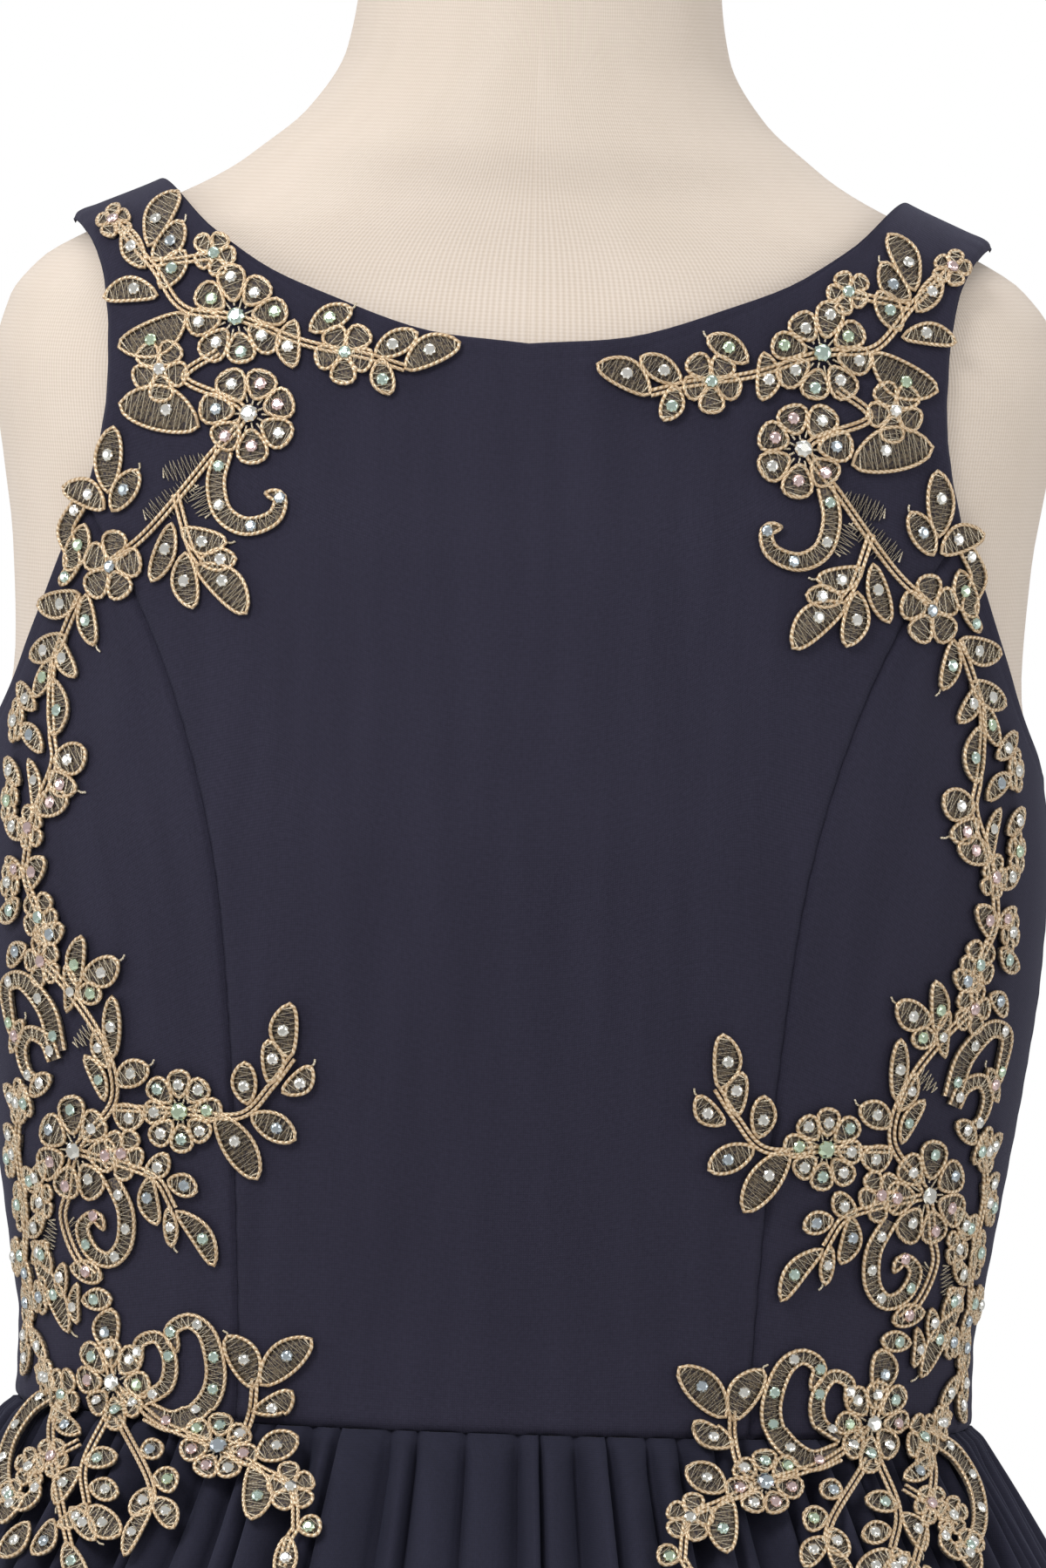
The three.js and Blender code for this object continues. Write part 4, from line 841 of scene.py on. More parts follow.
# Flowers: x, z, radius, petals
# Leaves: foot x, foot z, tip x, tip z, width
# Scrolls: width, then the middle line's points. Stems: the line's points.
LACE = {
    "neck": {
        "stems": [
            [(97, 1054.6), (88, 1046), (80, 1036), (68, 1034), (52, 1028), (36, 1024.5), (28, 1022)],
            [(88, 1046), (74, 1048)],
            [(72, 1026), (80, 1020), (66, 1012), (74, 1001), (88.6, 983), (97, 976)],
            [(82, 992), (78, 979), (76, 976)],
        ],
        "flowers": [
            (97, 1054.6, 5, 5), (73, 1048.5, 5.2, 5), (67.8, 1034, 11.4, 8), (85.7, 1021.8, 7, 5),
            (64.7, 1011.3, 11, 7), (42.2, 1025.6, 7, 5), (96.8, 975, 8, 5),
        ],
        "leaves": [
            (88.6, 1049.7, 81.5, 1061.3, 6), (87.5, 1047.4, 80.4, 1055.2, 5.5),
            (89.4, 1045.1, 94.3, 1053.1, 5), (86.4, 1039.2, 98.8, 1038.8, 5),
            (85.7, 1040.7, 80, 1048.9, 5.5), (79.6, 1034.6, 95.3, 1027, 9), (76.6, 1008.4, 95.1, 1014, 11),
            (50.4, 1030.8, 40.7, 1036, 5.5), (54.2, 1033.2, 54.6, 1022.2, 5.3),
            (35, 1025, 25.2, 1030.2, 5.5), (27.9, 1021.8, 15.1, 1027.9, 6.5),
            (33.8, 1024.1, 31.7, 1015.9, 5), (82.7, 985.1, 87.2, 971.6, 5), (80.4, 983.6, 69.9, 980.7, 5.5),
            (75.8, 976.2, 67.6, 976.9, 5), (76.7, 975.4, 65.1, 964.1, 7), (79.4, 978.3, 77.7, 965.3, 6),
            (97.7, 992.6, 96.6, 1008.4, 6.6), (98.5, 988.8, 108.2, 994.1, 6), (96.6, 988.2, 90.9, 997.9, 6),
        ],
        "scrolls": [
            (5, [(70.6, 1002.5), (72.5, 994.9), (70.6, 987.4), (65.3, 984.4), (58.6, 986.7), (57.5, 991.2),
                 (60.9, 992.2)]),
            (4.5, [(104.2, 990.3), (107.5, 983.6), (105.5, 976.2), (108.5, 970.6)]),
        ],
        "feathers": [
            (74.1, 1001.2, 86.1, 997, 6.5), (77, 995.8, 90.3, 986.5, 7), (78.3, 994.3, 74.1, 986.5, 7),
        ],
    },
    "armhole": {
        "stems": [[(104, 968), (108, 958), (110.6, 950), (110.5, 934), (110, 928), (114.6, 915), (117, 901),
                   (113.4, 891), (112.8, 880.5)]],
        "flowers": [
            (115.9, 912, 5, 5), (113.4, 891, 6, 5), (121, 937, 5, 5), (121.5, 899, 5, 5), (122, 918, 5, 5),
        ],
        "leaves": [
            (104, 968.3, 114.7, 965.5, 6), (102.5, 968.3, 100.8, 956.1, 5), (107.3, 958.2, 117, 952.7, 6),
            (108.6, 957, 105.2, 948.1, 5), (110.7, 952.7, 115.3, 942.9, 5), (110.3, 947.5, 110, 934, 6.5),
            (109.9, 927.4, 102.7, 930.7, 7), (114.3, 916, 106.9, 919.4, 6), (114.7, 916, 116.4, 928, 4),
            (117.6, 900.6, 122.6, 904.6, 4), (116.5, 897.3, 112.6, 905.3, 6), (113, 930, 119, 936, 5),
            (115, 940, 121, 946, 5), (111, 925, 105, 921, 5.5), (117, 910, 123, 914, 5),
            (119, 895, 125, 890, 5), (114, 886, 108, 889, 5), (119, 922, 124, 928, 5),
            (117, 884, 122, 879, 5),
        ],
        "scrolls": [],
        "feathers": [],
    },
    "side": {
        "stems": [
            [(112.8, 880.5), (106, 873), (98, 860), (96, 848), (105, 835.1), (107, 824), (108, 819),
             (104.6, 809), (100.6, 805)],
            [(96, 846), (80.4, 845.6), (66, 845), (59.2, 852), (54.2, 858.9)],
            [(105, 835), (93, 832), (86, 829), (82, 822)],
            [(118, 850), (121, 836), (119, 818), (121, 800), (118, 786)],
        ],
        "flowers": [
            (112.8, 880.5, 6, 5), (80.4, 845.6, 9.5, 8), (105, 835.1, 12, 7), (93.9, 835, 6, 5),
            (120, 846, 5.5, 5), (121, 821, 6, 5), (120, 797, 6, 5), (113.5, 822, 5, 5), (114.5, 799, 5, 5),
            (115, 779, 5, 5), (124.5, 808, 5, 5), (124.5, 832, 5, 5),
        ],
        "leaves": [
            (104.4, 874.8, 103.7, 886.8, 5), (103, 876.9, 95, 881.1, 6.5), (104.4, 873.5, 99, 872.7, 5),
            (106.9, 868.7, 107.1, 879.9, 4), (96, 858.2, 96.4, 872.7, 4.5), (96.8, 855.5, 100.2, 864.5, 4),
            (98.1, 847.7, 102.7, 858.2, 4), (95.3, 851.9, 88, 856.1, 6), (96, 845.6, 89, 843.5, 6),
            (72, 845, 62.4, 829.7, 7), (55, 858.9, 54.8, 871.9, 6), (59.2, 852.6, 59.8, 863, 5),
            (64.7, 847.7, 65.4, 857.6, 5.5), (56.4, 850.5, 49.7, 856.7, 5), (63.7, 845, 53.6, 839.3, 6),
            (116.2, 842.9, 119, 850.5, 5), (88.4, 829.7, 83.5, 835, 5), (83.2, 828.8, 76.7, 826.3, 5),
            (87.6, 829.5, 85.9, 818.1, 5), (83.2, 822.1, 82.5, 812.9, 3.5), (81.3, 821.5, 72.5, 808.5, 5),
            (107.9, 807.4, 108.4, 799.4, 4.5), (106, 806.8, 98.9, 804.3, 5),
            (104.6, 802.8, 104.6, 792.7, 3.5), (103.3, 798.8, 96.6, 799.4, 5),
            (115.9, 807.4, 106.7, 790.2, 7), (120, 838, 124, 829, 5), (120, 812, 124, 804, 5),
            (119, 814, 113, 819, 5), (119, 790, 114, 783, 5), (121, 792, 124, 784, 5),
            (119, 830, 114, 825, 5), (116, 848, 111, 853, 5), (118, 826, 112, 832, 5),
            (117, 807, 112, 812, 5), (118, 781, 112, 776, 5), (118, 800, 123, 809, 5),
            (122, 858, 118, 866, 5), (120, 842, 125, 850, 5), (120, 786, 125, 779, 5),
            (117, 812, 111, 805, 5), (121, 834, 126, 840, 5), (103, 985, 107, 974, 6),
        ],
        "scrolls": [
            (5, [(109.2, 858.9), (112.1, 869.4), (118.4, 875.7), (122.9, 874.2), (122.4, 867.3),
                 (120.8, 861.6)]),
            (4, [(110, 856.8), (112.1, 861.6), (116.3, 863), (118.6, 859.5), (117, 853.4), (114.2, 851.9)]),
            (4.5, [(96.6, 828.8), (93.2, 820.8), (93.9, 812.2), (97.2, 808.9), (101.2, 810.8), (103.3, 816.9),
                   (100.4, 819.6), (98.3, 816.2)]),
        ],
        "feathers": [
            (106, 860, 99.5, 865.5, 5), (111, 819, 113.8, 807.5, 6), (107, 819, 101.5, 808.5, 6),
        ],
    },
    "waist": {
        "stems": [
            [(97.2, 790), (97.2, 779), (88, 770), (72.5, 764.1), (62, 759), (55.2, 755.3), (54, 745)],
            [(97, 770), (89, 756), (88, 751)],
            [(99, 771), (105, 758), (104, 750)],
            [(106, 764), (112.6, 760.2), (119, 755)],
            [(63.4, 781), (64.8, 772), (67, 767), (70.5, 765)],
            [(110, 775), (113, 768), (112, 758), (110, 748), (108, 740)],
            [(54, 746), (55.9, 743), (57.2, 737)],
        ],
        "flowers": [
            (97.2, 778.8, 10.5, 8), (72.5, 764.1, 8.8, 7), (55.2, 755.3, 6, 5), (112.6, 760.2, 5, 5),
            (118, 757.4, 5, 5), (110, 775, 6.5, 5),
        ],
        "leaves": [
            (97.2, 786, 96.6, 797, 7), (63.8, 778.8, 69.3, 791.2, 7), (62, 779.5, 49.8, 790.8, 7),
            (64.5, 772.1, 54.8, 778, 6.5), (63.2, 762, 53.8, 766.7, 7), (64.3, 760.2, 64.5, 747.8, 6.5),
            (53.1, 745.4, 48.5, 748, 5), (55.9, 744, 57.8, 734.1, 5), (88, 756.2, 82.3, 757.4, 6),
            (88.6, 754.1, 93.2, 748, 5), (88, 752, 83.2, 745.4, 5.5), (88.6, 750.1, 94.9, 738.7, 4),
            (104.6, 759.3, 97, 761.4, 5), (106, 758, 111.7, 749.7, 5), (103.3, 754.1, 96.6, 752.8, 5.5),
            (104, 750, 110.9, 744.6, 4), (103.3, 749.4, 96, 743.4, 7), (120, 754, 126, 750, 5),
            (119.3, 751.3, 125.4, 744.6, 5), (108, 749, 102, 742, 5), (112, 746, 117, 738, 5),
            (109, 741, 104, 732, 5.5), (118, 745, 125, 737, 5.5), (113, 771, 106, 766, 5),
            (91, 762, 86, 764, 5),
        ],
        "scrolls": [
            (4, [(90.5, 774.9), (84.6, 778.8), (83.2, 785.4), (85.9, 790.2), (89.9, 788.7), (90.5, 783.5)]),
            (5.5, [(89.9, 771.5), (83.2, 769.4), (75.2, 774.9), (72.5, 782.2), (74.6, 792.1), (78.5, 794.8),
                   (82.5, 792.1), (81.3, 786.8)]),
            (4.5, [(113, 775), (119.5, 771), (124.5, 763), (124.5, 754), (120.5, 749), (116.5, 752),
                   (118, 757)]),
        ],
        "feathers": [],
    },
}

CORD_RADIUS, CORD_SIDES = 0.5, 6
THREAD_RADIUS, THREAD_SIDES = 0.28, 4
STITCH_STEP, LOOSE_STITCH_STEP = 0.72, 0.55
# How far each layer stands off the cloth
CORD_HEIGHT, THREAD_HEIGHT, GROUND_HEIGHT, GROUND_RISE = 1.4, 1.6, 0.8, 0.3
STONE_HEIGHT, MIDDLE_STONE_HEIGHT = 1.75, 2.0
STEM_HALF_SPREAD = 0.62
LEAF_SCALE, WIDE_LEAF_SCALE, FLOWER_SCALE = 1.22, 1.05, 1.17
# Share of the dress's half width from which the lace runs on round the side
WRAP_FROM = 0.86


def upright(points):
    """Takes the view's lean out of points given as distance from the centre and height."""
    p = np.atleast_2d(np.array(points, float))
    x, z = p[:, 0] - LEAN_CENTRE[0], p[:, 1] - LEAN_CENTRE[1]
    return np.stack([x + z * LEAN, LEAN_CENTRE[1] + z - x * LEAN], -1)


def wrapped(body, x, z):
    """The point of a body seen from the front at x and z. Near the side the lace runs on round it."""
    power = body.power(z)
    ratio = x / body.half(z)
    turn = np.arcsin(np.minimum(ratio, WRAP_FROM) ** (power / 2))
    rate = power / 2 * WRAP_FROM ** (power / 2 - 1) / np.sqrt(1 - WRAP_FROM ** power)
    return body.at_angle(np.degrees(turn + np.maximum(ratio - WRAP_FROM, 0) * rate), z)


def placed(flat, height, side):
    """Points that stand off the dress, and the way out of the cloth, from their place in the front view."""
    x, z = flat[:, 0], flat[:, 1] - SIDE_DROP[side]
    share = smoothstep(z, WAIST_Z, WAIST_Z + 20)[:, None]
    on_dress, on_form = wrapped(outside, x, z), wrapped(form, x, z)
    foot = on_dress * (1 - share) + off_form(on_form, np.full(len(x), SHELL)) * share
    way = outside.normal(on_dress) * (1 - share) + form.normal(on_form) * share
    way /= np.linalg.norm(way, axis=1, keepdims=True)
    points = foot + way * np.broadcast_to(height, len(x))[:, None]
    return (points, way) if side == "left" else (mirrored(points), mirrored(way))


def foreshortened(x, z):
    """How much shorter a distance on the cloth looks from the front, across and up."""
    nx, _, nz = outside.normal(wrapped(outside, np.array(x), np.array(z)))
    return np.array([max(math.sqrt(1 - nx * nx), 0.5), max(math.sqrt(1 - nz * nz), 0.5)])


class Motif:
    """The lines, fills and stones of one piece of lace, drawn flat."""

    def __init__(self):
        self.cords, self.threads, self.fills, self.stones = [], [], [], []

    def cord(self, line, closed=False, height=CORD_HEIGHT):
        self.cords.append((np.asarray(line, float), closed, height))

    def thread(self, line, height=THREAD_HEIGHT):
        self.threads.append((np.asarray(line, float), False, height))

    def stone(self, x, z, size, height=STONE_HEIGHT):
        self.stones.append((x, z, size, height))

    def stitched(self, left, right, length):
        """Ground and zigzag stitching between two edges."""
        self.fills.append((left, right))
        self.thread(zigzag(left, right, STITCH_STEP, length))


def leaf_shape(foot, tip, width, bend, short):
    """The middle line and both edges of a leaf."""
    s = np.linspace(0, 1, 15)
    along = tip - foot
    length = np.linalg.norm(along)
    across = np.array([along[1], -along[0]]) / length * short
    middle = foot + along * s[:, None] + across * (bend * length * 0.12 * np.sin(np.pi * s))[:, None]
    half = 0.5 * width * np.sin(np.pi * s ** 1.08) ** 0.58
    half[0] = half[-1] = 0
    return middle, middle + across * half[:, None], middle - across * half[:, None], length


def zigzag(left, right, spacing, length):
    """A thread that runs from edge to edge and back, all the way up."""
    count = max(int(length / spacing), 3)
    s = np.linspace(0.08, 0.94, count)
    at = np.linspace(0, 1, len(left))
    edge = [np.stack([np.interp(s, at, side[:, k]) for k in (0, 1)], -1) for side in (left, right)]
    middle = (edge[0] + edge[1]) / 2
    line = []
    for i in range(count):
        side = edge[i % 2][i]
        reach = 0.9 + 0.1 * math.sin(i * 2.3 + length)
        slip = along_edges(edge, i, 0.3 * math.sin(i * 1.7 + length))
        line.append(middle[i] + (side - middle[i]) * reach + slip)
    return np.array(line)


def along_edges(edge, i, share):
    """A step along the stitched form, so that no two stitches lie quite alike."""
    near = edge[0][max(i - 1, 0)] + edge[1][max(i - 1, 0)]
    return (edge[0][i] + edge[1][i] - near) / 2 * share


def add_leaf(motif, foot, tip, width, index):
    short = foreshortened(*foot)
    bend = (0.9, -0.7, 0.4, -1.0, 0.2)[index % 5]
    width *= LEAF_SCALE if width < 7.5 else WIDE_LEAF_SCALE
    middle, left, right, length = leaf_shape(foot, tip, width - 2 * CORD_RADIUS, bend, short)
    motif.cord(np.vstack([left, right[::-1][1:-1]]), closed=True)
    motif.stitched(left, right, length)
    motif.stone(*middle[6 + index % 3], 3.2 if width > 5.4 else 2.8)
    # Some leaves end in a loose thread
    if index % 6 == 1:
        way = (tip - foot) / length
        loose = np.array([way[1], -way[0]]) * 0.9
        motif.thread([tip - way, tip + way * 0.9 + loose * 0.3, tip + way * 1.7 + loose * 1.0], 0.6)


def way_out(angle):
    return np.array([math.cos(angle), math.sin(angle)])


def add_flower(motif, centre, radius, petals, index):
    short = foreshortened(*centre)
    big = petals >= 7
    radius *= FLOWER_SCALE
    hole = radius * (0.3 if big else 0.16)
    t = np.linspace(0, 2 * np.pi, 15, endpoint=False)
    share = 0.5 - 0.5 * np.cos(t)
    width = 2 * math.pi * 0.72 * radius / petals - (0.2 if big else 1.0)
    for k in range(petals):
        out = way_out(index * 0.7 + 2 * np.pi * k / petals)
        over = np.array([-out[1], out[0]])
        reach = radius * (0.94 + 0.06 * math.sin(k * 2.3 + index)) - CORD_RADIUS
        a = hole + (reach - hole) * share
        b = width / 2 * np.sin(t) * (0.5 + 0.68 * share)
        loop = centre + (a[:, None] * out + b[:, None] * over) * short
        motif.cord(loop, closed=True)
        half = len(t) // 2
        motif.stitched(loop[:half + 1], np.vstack([loop[:1], loop[::-1]])[:half + 1], reach - hole)
        if big:
            along = hole + (reach - hole) * (0.55 + 0.1 * math.sin(k * 3 + index))
            motif.stone(*(centre + out * along * short), 3.2)
    if big:
        for k in range(14):
            spoke = np.outer([0.55 + 0.2 * (k % 2), 1.25], way_out(2 * np.pi * k / 14) * hole)
            motif.thread(centre + spoke * short, 1.0)
    motif.stone(*centre, 4.6 if big else 3.2, MIDDLE_STONE_HEIGHT)


def drawn_line(line, count):
    """A line of the view made upright and smooth, and the way across it at each point."""
    path = smooth_line(upright(line), count)
    tangent = np.gradient(path, axis=0)
    across = np.stack([tangent[:, 1], -tangent[:, 0]], -1) / np.linalg.norm(tangent, axis=1)[:, None]
    return path, across


def line_length(points):
    return np.linalg.norm(np.diff(points, axis=0), axis=1).sum()


def add_scroll(motif, width, line):
    path, across = drawn_line(line, 40)
    s = np.linspace(0, 1, len(path))
    half = (width / 2 - CORD_RADIUS) * (0.35 + 0.65 * np.sin(np.pi * np.clip(s * 0.62 + 0.3, 0, 1)))
    half = half * np.minimum(1, np.sqrt(np.clip((1 - s) * 18, 0, 1)))
    left, right = path + across * half[:, None], path - across * half[:, None]
    motif.cord(np.vstack([left, right[::-1]]))
    length = line_length(path)
    motif.stitched(left, right, length)
    for share in np.linspace(0.12, 0.9, max(int(length / 8), 2)):
        motif.stone(*path[int(share * (len(path) - 1))], 3.0)


def add_stem(motif, line):
    path, across = drawn_line(line, max(int(line_length(upright(line)) / 1.1), 4))
    for sign in (-1, 1):
        motif.cord(path + across * sign * STEM_HALF_SPREAD, height=CORD_HEIGHT - 0.1)


def add_feather(motif, x, z, tip_x, tip_z, width):
    """A leaf of loose zigzag stitches with no cord round it."""
    foot, tip = upright([(x, z), (tip_x, tip_z)])
    _, left, right, length = leaf_shape(foot, tip, width, 0.5, foreshortened(*foot))
    motif.thread(zigzag(left, right, LOOSE_STITCH_STEP, length), 0.8)


def draw_motif(rows):
    motif = Motif()
    for line in rows["stems"]:
        add_stem(motif, line)
    for index, (x, z, radius, petals) in enumerate(rows["flowers"]):
        add_flower(motif, upright((x, z))[0], radius, petals, index)
    for index, (x, z, tip_x, tip_z, width) in enumerate(rows["leaves"]):
        foot, tip = upright([(x, z), (tip_x, tip_z)])
        add_leaf(motif, foot, tip, width, index)
    for width, line in rows["scrolls"]:
        add_scroll(motif, width, line)
    for row in rows["feathers"]:
        add_feather(motif, *row)
    return motif


def geometry_tree(name, kinds):
    """A geometry node tree with the given inputs: the tree, the inputs' identifiers and their sockets."""
    tree = bpy.data.node_groups.new(name, "GeometryNodeTree")
    face = tree.interface
    names = {key: face.new_socket(key, in_out="INPUT", socket_type=f"NodeSocket{kind}").identifier
             for key, kind in kinds.items()}
    face.new_socket("Geometry", in_out="OUTPUT", socket_type="NodeSocketGeometry")
    return tree, names, add_node(tree, "NodeGroupInput").outputs


def stored(tree, geometry, name, value, domain="POINT"):
    return add_node(tree, "GeometryNodeStoreNamedAttribute", {"data_type": "FLOAT", "domain": domain}, {
        "Geometry": geometry, "Name": name, "Value": value}).outputs[0]


def give_out(tree, geometry, finish):
    """Ends a tree: its geometry is made real, given its material and passed on."""
    solid = add_node(tree, "GeometryNodeRealizeInstances", None, {0: geometry})
    done = add_node(tree, "GeometryNodeSetMaterial", None, {"Geometry": solid.outputs[0], "Material": finish})
    tree.links.new(done.outputs[0], add_node(tree, "NodeGroupOutput").inputs[0])


def swept_cord_tree():
    """Geometry nodes that sweep a round section along every line of a mesh."""
    tree, names, given = geometry_tree("swept_cord", {
        "Geometry": "Geometry", "Cord radius": "Float", "Cord sides": "Int", "Finish": "Material"})
    line = add_node(tree, "GeometryNodeMeshToCurve", None, {"Mesh": given["Geometry"]}).outputs[0]
    run = add_node(tree, "GeometryNodeSplineParameter").outputs["Length"]
    ring = add_node(tree, "GeometryNodeCurvePrimitiveCircle", {"mode": "RADIUS"}, {
        "Resolution": given["Cord sides"], "Radius": given["Cord radius"]}).outputs[0]
    around = add_node(tree, "GeometryNodeSplineParameter").outputs["Factor"]
    swept = add_node(tree, "GeometryNodeCurveToMesh", None, {
        "Curve": stored(tree, line, "along", run), "Profile Curve": stored(tree, ring, "turn", around),
        "Fill Caps": True})
    smooth = add_node(tree, "GeometryNodeSetShadeSmooth", None, {0: swept.outputs[0]})
    give_out(tree, smooth.outputs[0], given["Finish"])
    return tree, names


def set_stone_tree():
    """Geometry nodes that set a stone on every point, square to the cloth."""
    tree, names, given = geometry_tree("set_stones", {
        "Geometry": "Geometry", "Stone": "Object", "Seed": "Int", "Finish": "Material"})
    shape = add_node(tree, "GeometryNodeObjectInfo", {"transform_space": "ORIGINAL"}, {
        "Object": given["Stone"]})
    named = "GeometryNodeInputNamedAttribute"
    way = add_node(tree, named, {"data_type": "FLOAT_VECTOR"}, {"Name": "way_out"})
    size = add_node(tree, named, {"data_type": "FLOAT"}, {"Name": "stone_size"})
    stand = add_node(tree, "FunctionNodeAlignRotationToVector", {"axis": "Z"}, {
        "Vector": way.outputs["Attribute"]})
    spin = add_node(tree, "FunctionNodeRandomValue", {"data_type": "FLOAT"}, {
        "Max": 6.28, "Seed": given["Seed"]})
    turn = add_node(tree, "FunctionNodeAxisAngleToRotation", None, {
        "Axis": (0, 0, 1), "Angle": spin.outputs[1]})
    facing = add_node(tree, "FunctionNodeRotateRotation", {"rotation_space": "LOCAL"}, {
        "Rotation": stand.outputs[0], "Rotate By": turn.outputs[0]})
    stones = add_node(tree, "GeometryNodeInstanceOnPoints", None, {
        "Points": given["Geometry"], "Instance": shape.outputs["Geometry"],
        "Rotation": facing.outputs[0], "Scale": size.outputs["Attribute"]})
    shade = add_node(tree, "FunctionNodeRandomValue", {"data_type": "FLOAT"}, {"Seed": 7})
    give_out(tree, stored(tree, stones.outputs[0], "tint", shade.outputs[1], "INSTANCE"), given["Finish"])
    return tree, names


def grown(name, mesh, tree, values):
    """Runs geometry nodes on a mesh and returns the result as a plain piece."""
    seed = placed_object(f"{name}_seed", mesh)
    modifier = seed.modifiers.new("grow", "NODES")
    modifier.node_group = tree
    for identifier, value in values.items():
        modifier[identifier] = value
    bpy.context.view_layer.update()
    ready = seed.evaluated_get(bpy.context.evaluated_depsgraph_get())
    made = bpy.data.meshes.new_from_object(ready)
    made.name = name
    bpy.data.objects.remove(seed)
    return placed_object(name, made)


def cut_stone():
    """A flat-backed stone of unit diameter: a table, star facets and a girdle."""
    rings = [(1.0, 0.0, 0), (1.0, 0.12, 0), (0.80, 0.40, 0.5), (0.48, 0.58, 0)]
    sides = 8
    points, faces = [], []
    for radius, z, twist in rings:
        for i in range(sides):
            angle = 2 * math.pi * (i + twist) / sides
            points.append((radius * math.cos(angle) / 2, radius * math.sin(angle) / 2, z / 2))

    def at(ring, i):
        return ring * sides + i % sides

    for i in range(sides):
        faces.append([at(0, i), at(0, i + 1), at(1, i + 1), at(1, i)])
        faces += [[at(1, i), at(1, i + 1), at(2, i)], [at(2, i), at(1, i + 1), at(2, i + 1)]]
        faces += [[at(2, i), at(3, i + 1), at(3, i)], [at(2, i), at(2, i + 1), at(3, i + 1)]]
    faces.append([at(3, i) for i in range(sides)])
    faces.append([at(0, i) for i in reversed(range(sides))])
    return mesh_piece("cut_stone", points, faces, crystal, smooth=False)


cord_tree, cord_sockets = swept_cord_tree()
stone_tree, stone_sockets = set_stone_tree()
stone_shape = cut_stone()


def line_mesh(name, lines, side):
    points, edges = [], []
    for line, closed, height in lines:
        spots, _ = placed(line, height, side)
        first = len(points)
        points += spots.tolist()
        edges += [(first + i, first + i + 1) for i in range(len(spots) - 1)]
        if closed:
            edges.append((first + len(spots) - 1, first))
    mesh = bpy.data.meshes.new(name)
    mesh.from_pydata((np.array(points) * MM).tolist(), edges, [])
    return mesh


def fill_piece(name, fills, side):
    """The stitched ground between the cords of each leaf, petal and scroll: a low dome of cloth."""
    points, faces = [], []
    across = np.linspace(0, 1, 5)
    rise = GROUND_HEIGHT + GROUND_RISE * np.sin(np.pi * across)
    for left, right in fills:
        flat = left[:, None] * (1 - across)[None, :, None] + right[:, None] * across[None, :, None]
        rows, columns = flat.shape[:2]
        top, way = placed(flat.reshape(-1, 2), np.tile(rise, rows), side)
        first, under, last = len(points), rows * columns, columns - 1
        points += top.tolist() + (top - way * 0.5).tolist()

        def at(j, i):
            return first + j * columns + i

        for j in range(rows - 1):
            for i in range(columns - 1):
                quad = [at(j, i), at(j, i + 1), at(j + 1, i + 1), at(j + 1, i)]
                faces += [quad, [v + under for v in reversed(quad)]]
            faces.append([at(j, 0), at(j + 1, 0), at(j + 1, 0) + under, at(j, 0) + under])
            faces.append([at(j + 1, last), at(j, last), at(j, last) + under, at(j + 1, last) + under])
    piece = mesh_piece(name, points, faces, stitched_net)
    weld(piece.data, 0.01, turn_out=True)
    return piece


def cord_piece(name, lines, side, radius, sides, finish):
    return grown(name, line_mesh(f"{name}_lines", lines, side), cord_tree, {
        cord_sockets["Cord radius"]: radius * MM, cord_sockets["Cord sides"]: sides,
        cord_sockets["Finish"]: finish})


def stone_piece(name, stones, side):
    spots = np.array([(x, z) for x, z, _, _ in stones])
    points, way = placed(spots, np.array([height for *_, height in stones]), side)
    mesh = bpy.data.meshes.new(f"{name}_spots")
    mesh.from_pydata((points * MM).tolist(), [], [])
    mesh.attributes.new("way_out", "FLOAT_VECTOR", "POINT").data.foreach_set("vector", way.ravel())
    mesh.attributes.new("stone_size", "FLOAT", "POINT").data.foreach_set(
        "value", [size for _, _, size, _ in stones])
    return grown(name, mesh, stone_tree, {
        stone_sockets["Stone"]: stone_shape, stone_sockets["Seed"]: 3, stone_sockets["Finish"]: crystal})


for motif_name, rows in LACE.items():
    drawn = draw_motif(rows)
    for side in ("left", "right"):
        node = f"lace_{motif_name}_{side}"
        cords = cord_piece(f"{node}_cords", drawn.cords, side, CORD_RADIUS, CORD_SIDES, gold_cord)
        threads = cord_piece(f"{node}_threads", drawn.threads, side, THREAD_RADIUS, THREAD_SIDES, gold_thread)
        stones = stone_piece(f"{node}_stones", drawn.stones, side)
        ground = fill_piece(f"{node}_ground", drawn.fills, side)
        keep(cords, "gold_lace", node)
        for piece in (threads, stones, ground):
            keep(piece, "gold_lace")

bpy.data.objects.remove(stone_shape)


# Floor, light and camera

FLOOR_RADIUS, FLOOR_SIDES, FLOOR_DROP = 5, 64, 0.0005
# Each lamp's place, what it is turned to, its size in metres and its power in watts
LAMPS = {
    "key_light": ((-0.8, -1.25, 1.95), (0, 0, 1.0), 0.7, 14),
    "fill_light": ((1.5, -2.1, 1.4), (0, 0, 0.95), 1.4, 9),
    "top_light": ((0, 0.3, 2.7), (0, 0, 1.0), 1.6, 12),
    "left_light": ((-2.6, -0.5, 1.3), (0, 0, 1.05), 1.6, 15),
    "right_light": ((2.6, -0.5, 1.3), (0, 0, 1.05), 1.6, 11),
}


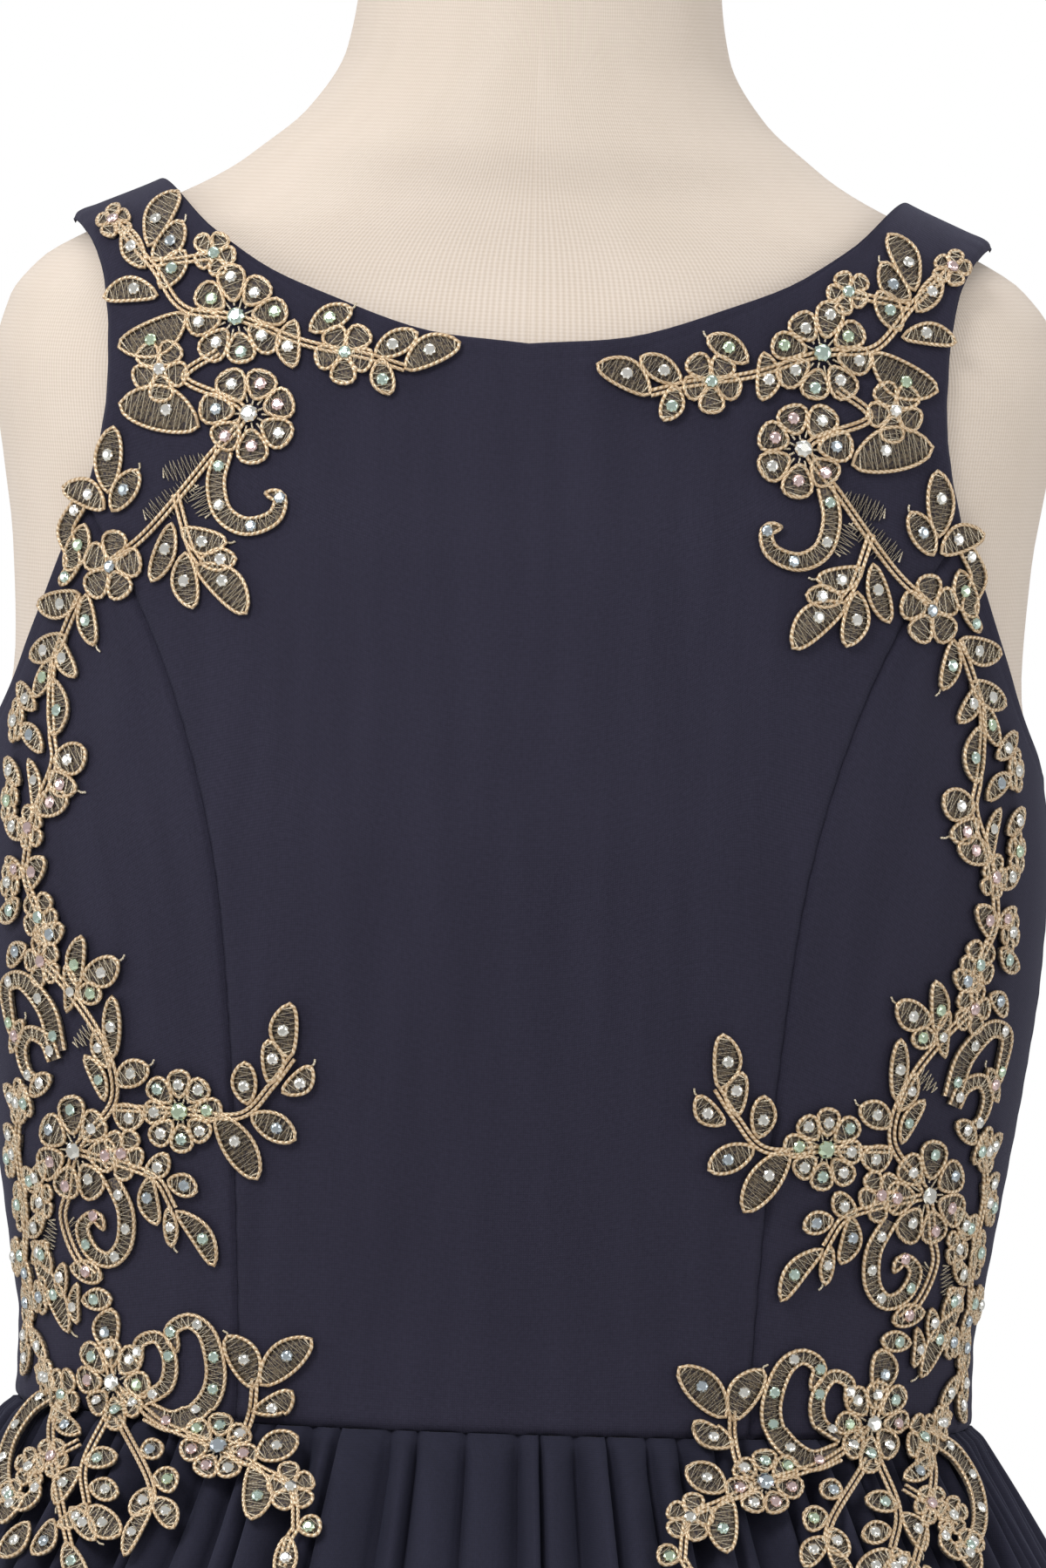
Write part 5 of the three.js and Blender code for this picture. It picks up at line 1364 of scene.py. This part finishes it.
def floor():
    mesh = bpy.data.meshes.new("studio_floor")
    turns = [2 * math.pi * i / FLOOR_SIDES for i in range(FLOOR_SIDES)]
    ring = [(FLOOR_RADIUS * math.cos(a), FLOOR_RADIUS * math.sin(a), -FLOOR_DROP) for a in turns]
    mesh.from_pydata(ring, [], [list(range(FLOOR_SIDES))])
    mesh.materials.append(Finish("pale_studio_floor", "#e9e8e6", 0.8).material)
    placed_object("studio_floor", mesh)


floor()
for name, (place, aim, size, power) in LAMPS.items():
    light = bpy.data.lights.new(name, "AREA")
    light.shape, light.size, light.energy = "DISK", size, power
    lamp = placed_object(name, light)
    lamp.location = place
    lamp.rotation_mode = "QUATERNION"
    lamp.rotation_quaternion = (Vector(aim) - Vector(place)).to_track_quat("-Z", "Y")
world = bpy.data.worlds.new("studio")
bpy.context.scene.world = world
world.use_nodes = True
sky = world.node_tree
background = sky.nodes["Background"]
background.inputs["Color"].default_value = (1, 1, 1, 1)
background.inputs["Strength"].default_value = 1.0
dim = add_node(sky, "ShaderNodeBackground", None, {"Color": (1, 1, 1, 1), "Strength": 0.5})
seen = add_node(sky, "ShaderNodeLightPath")
both = add_node(sky, "ShaderNodeMixShader", None, {
    0: seen.outputs["Is Camera Ray"], 1: dim.outputs[0], 2: background.outputs[0]})
sky.links.new(both.outputs[0], sky.nodes["World Output"].inputs["Surface"])
bpy.context.scene.view_settings.view_transform = "Standard"

# The camera looks at the dress's front from a little above, leaning as the picture does
PICTURE_HEIGHT, DISTANCE, SENSOR = 0.378, 5.0, 36
ELEVATION = math.radians(2.0)
TARGET = Vector((LEAN_CENTRE[0] * MM, -0.05, LEAN_CENTRE[1] * MM))
camera = bpy.data.cameras.new("camera")
camera.lens = SENSOR * DISTANCE / PICTURE_HEIGHT
camera.clip_start, camera.clip_end = 0.1, 20
eye = placed_object("camera", camera)
back = Vector((0, -math.cos(ELEVATION), math.sin(ELEVATION)))
right = Vector((0, 0, 1)).cross(back).normalized()
leaning_up = back.cross(right) * math.cos(LEAN) - right * math.sin(LEAN)
turn = Matrix((leaning_up.cross(back), leaning_up, back)).transposed()
eye.matrix_world = Matrix.Translation(TARGET + back * DISTANCE) @ turn.to_4x4()
bpy.context.scene.camera = eye
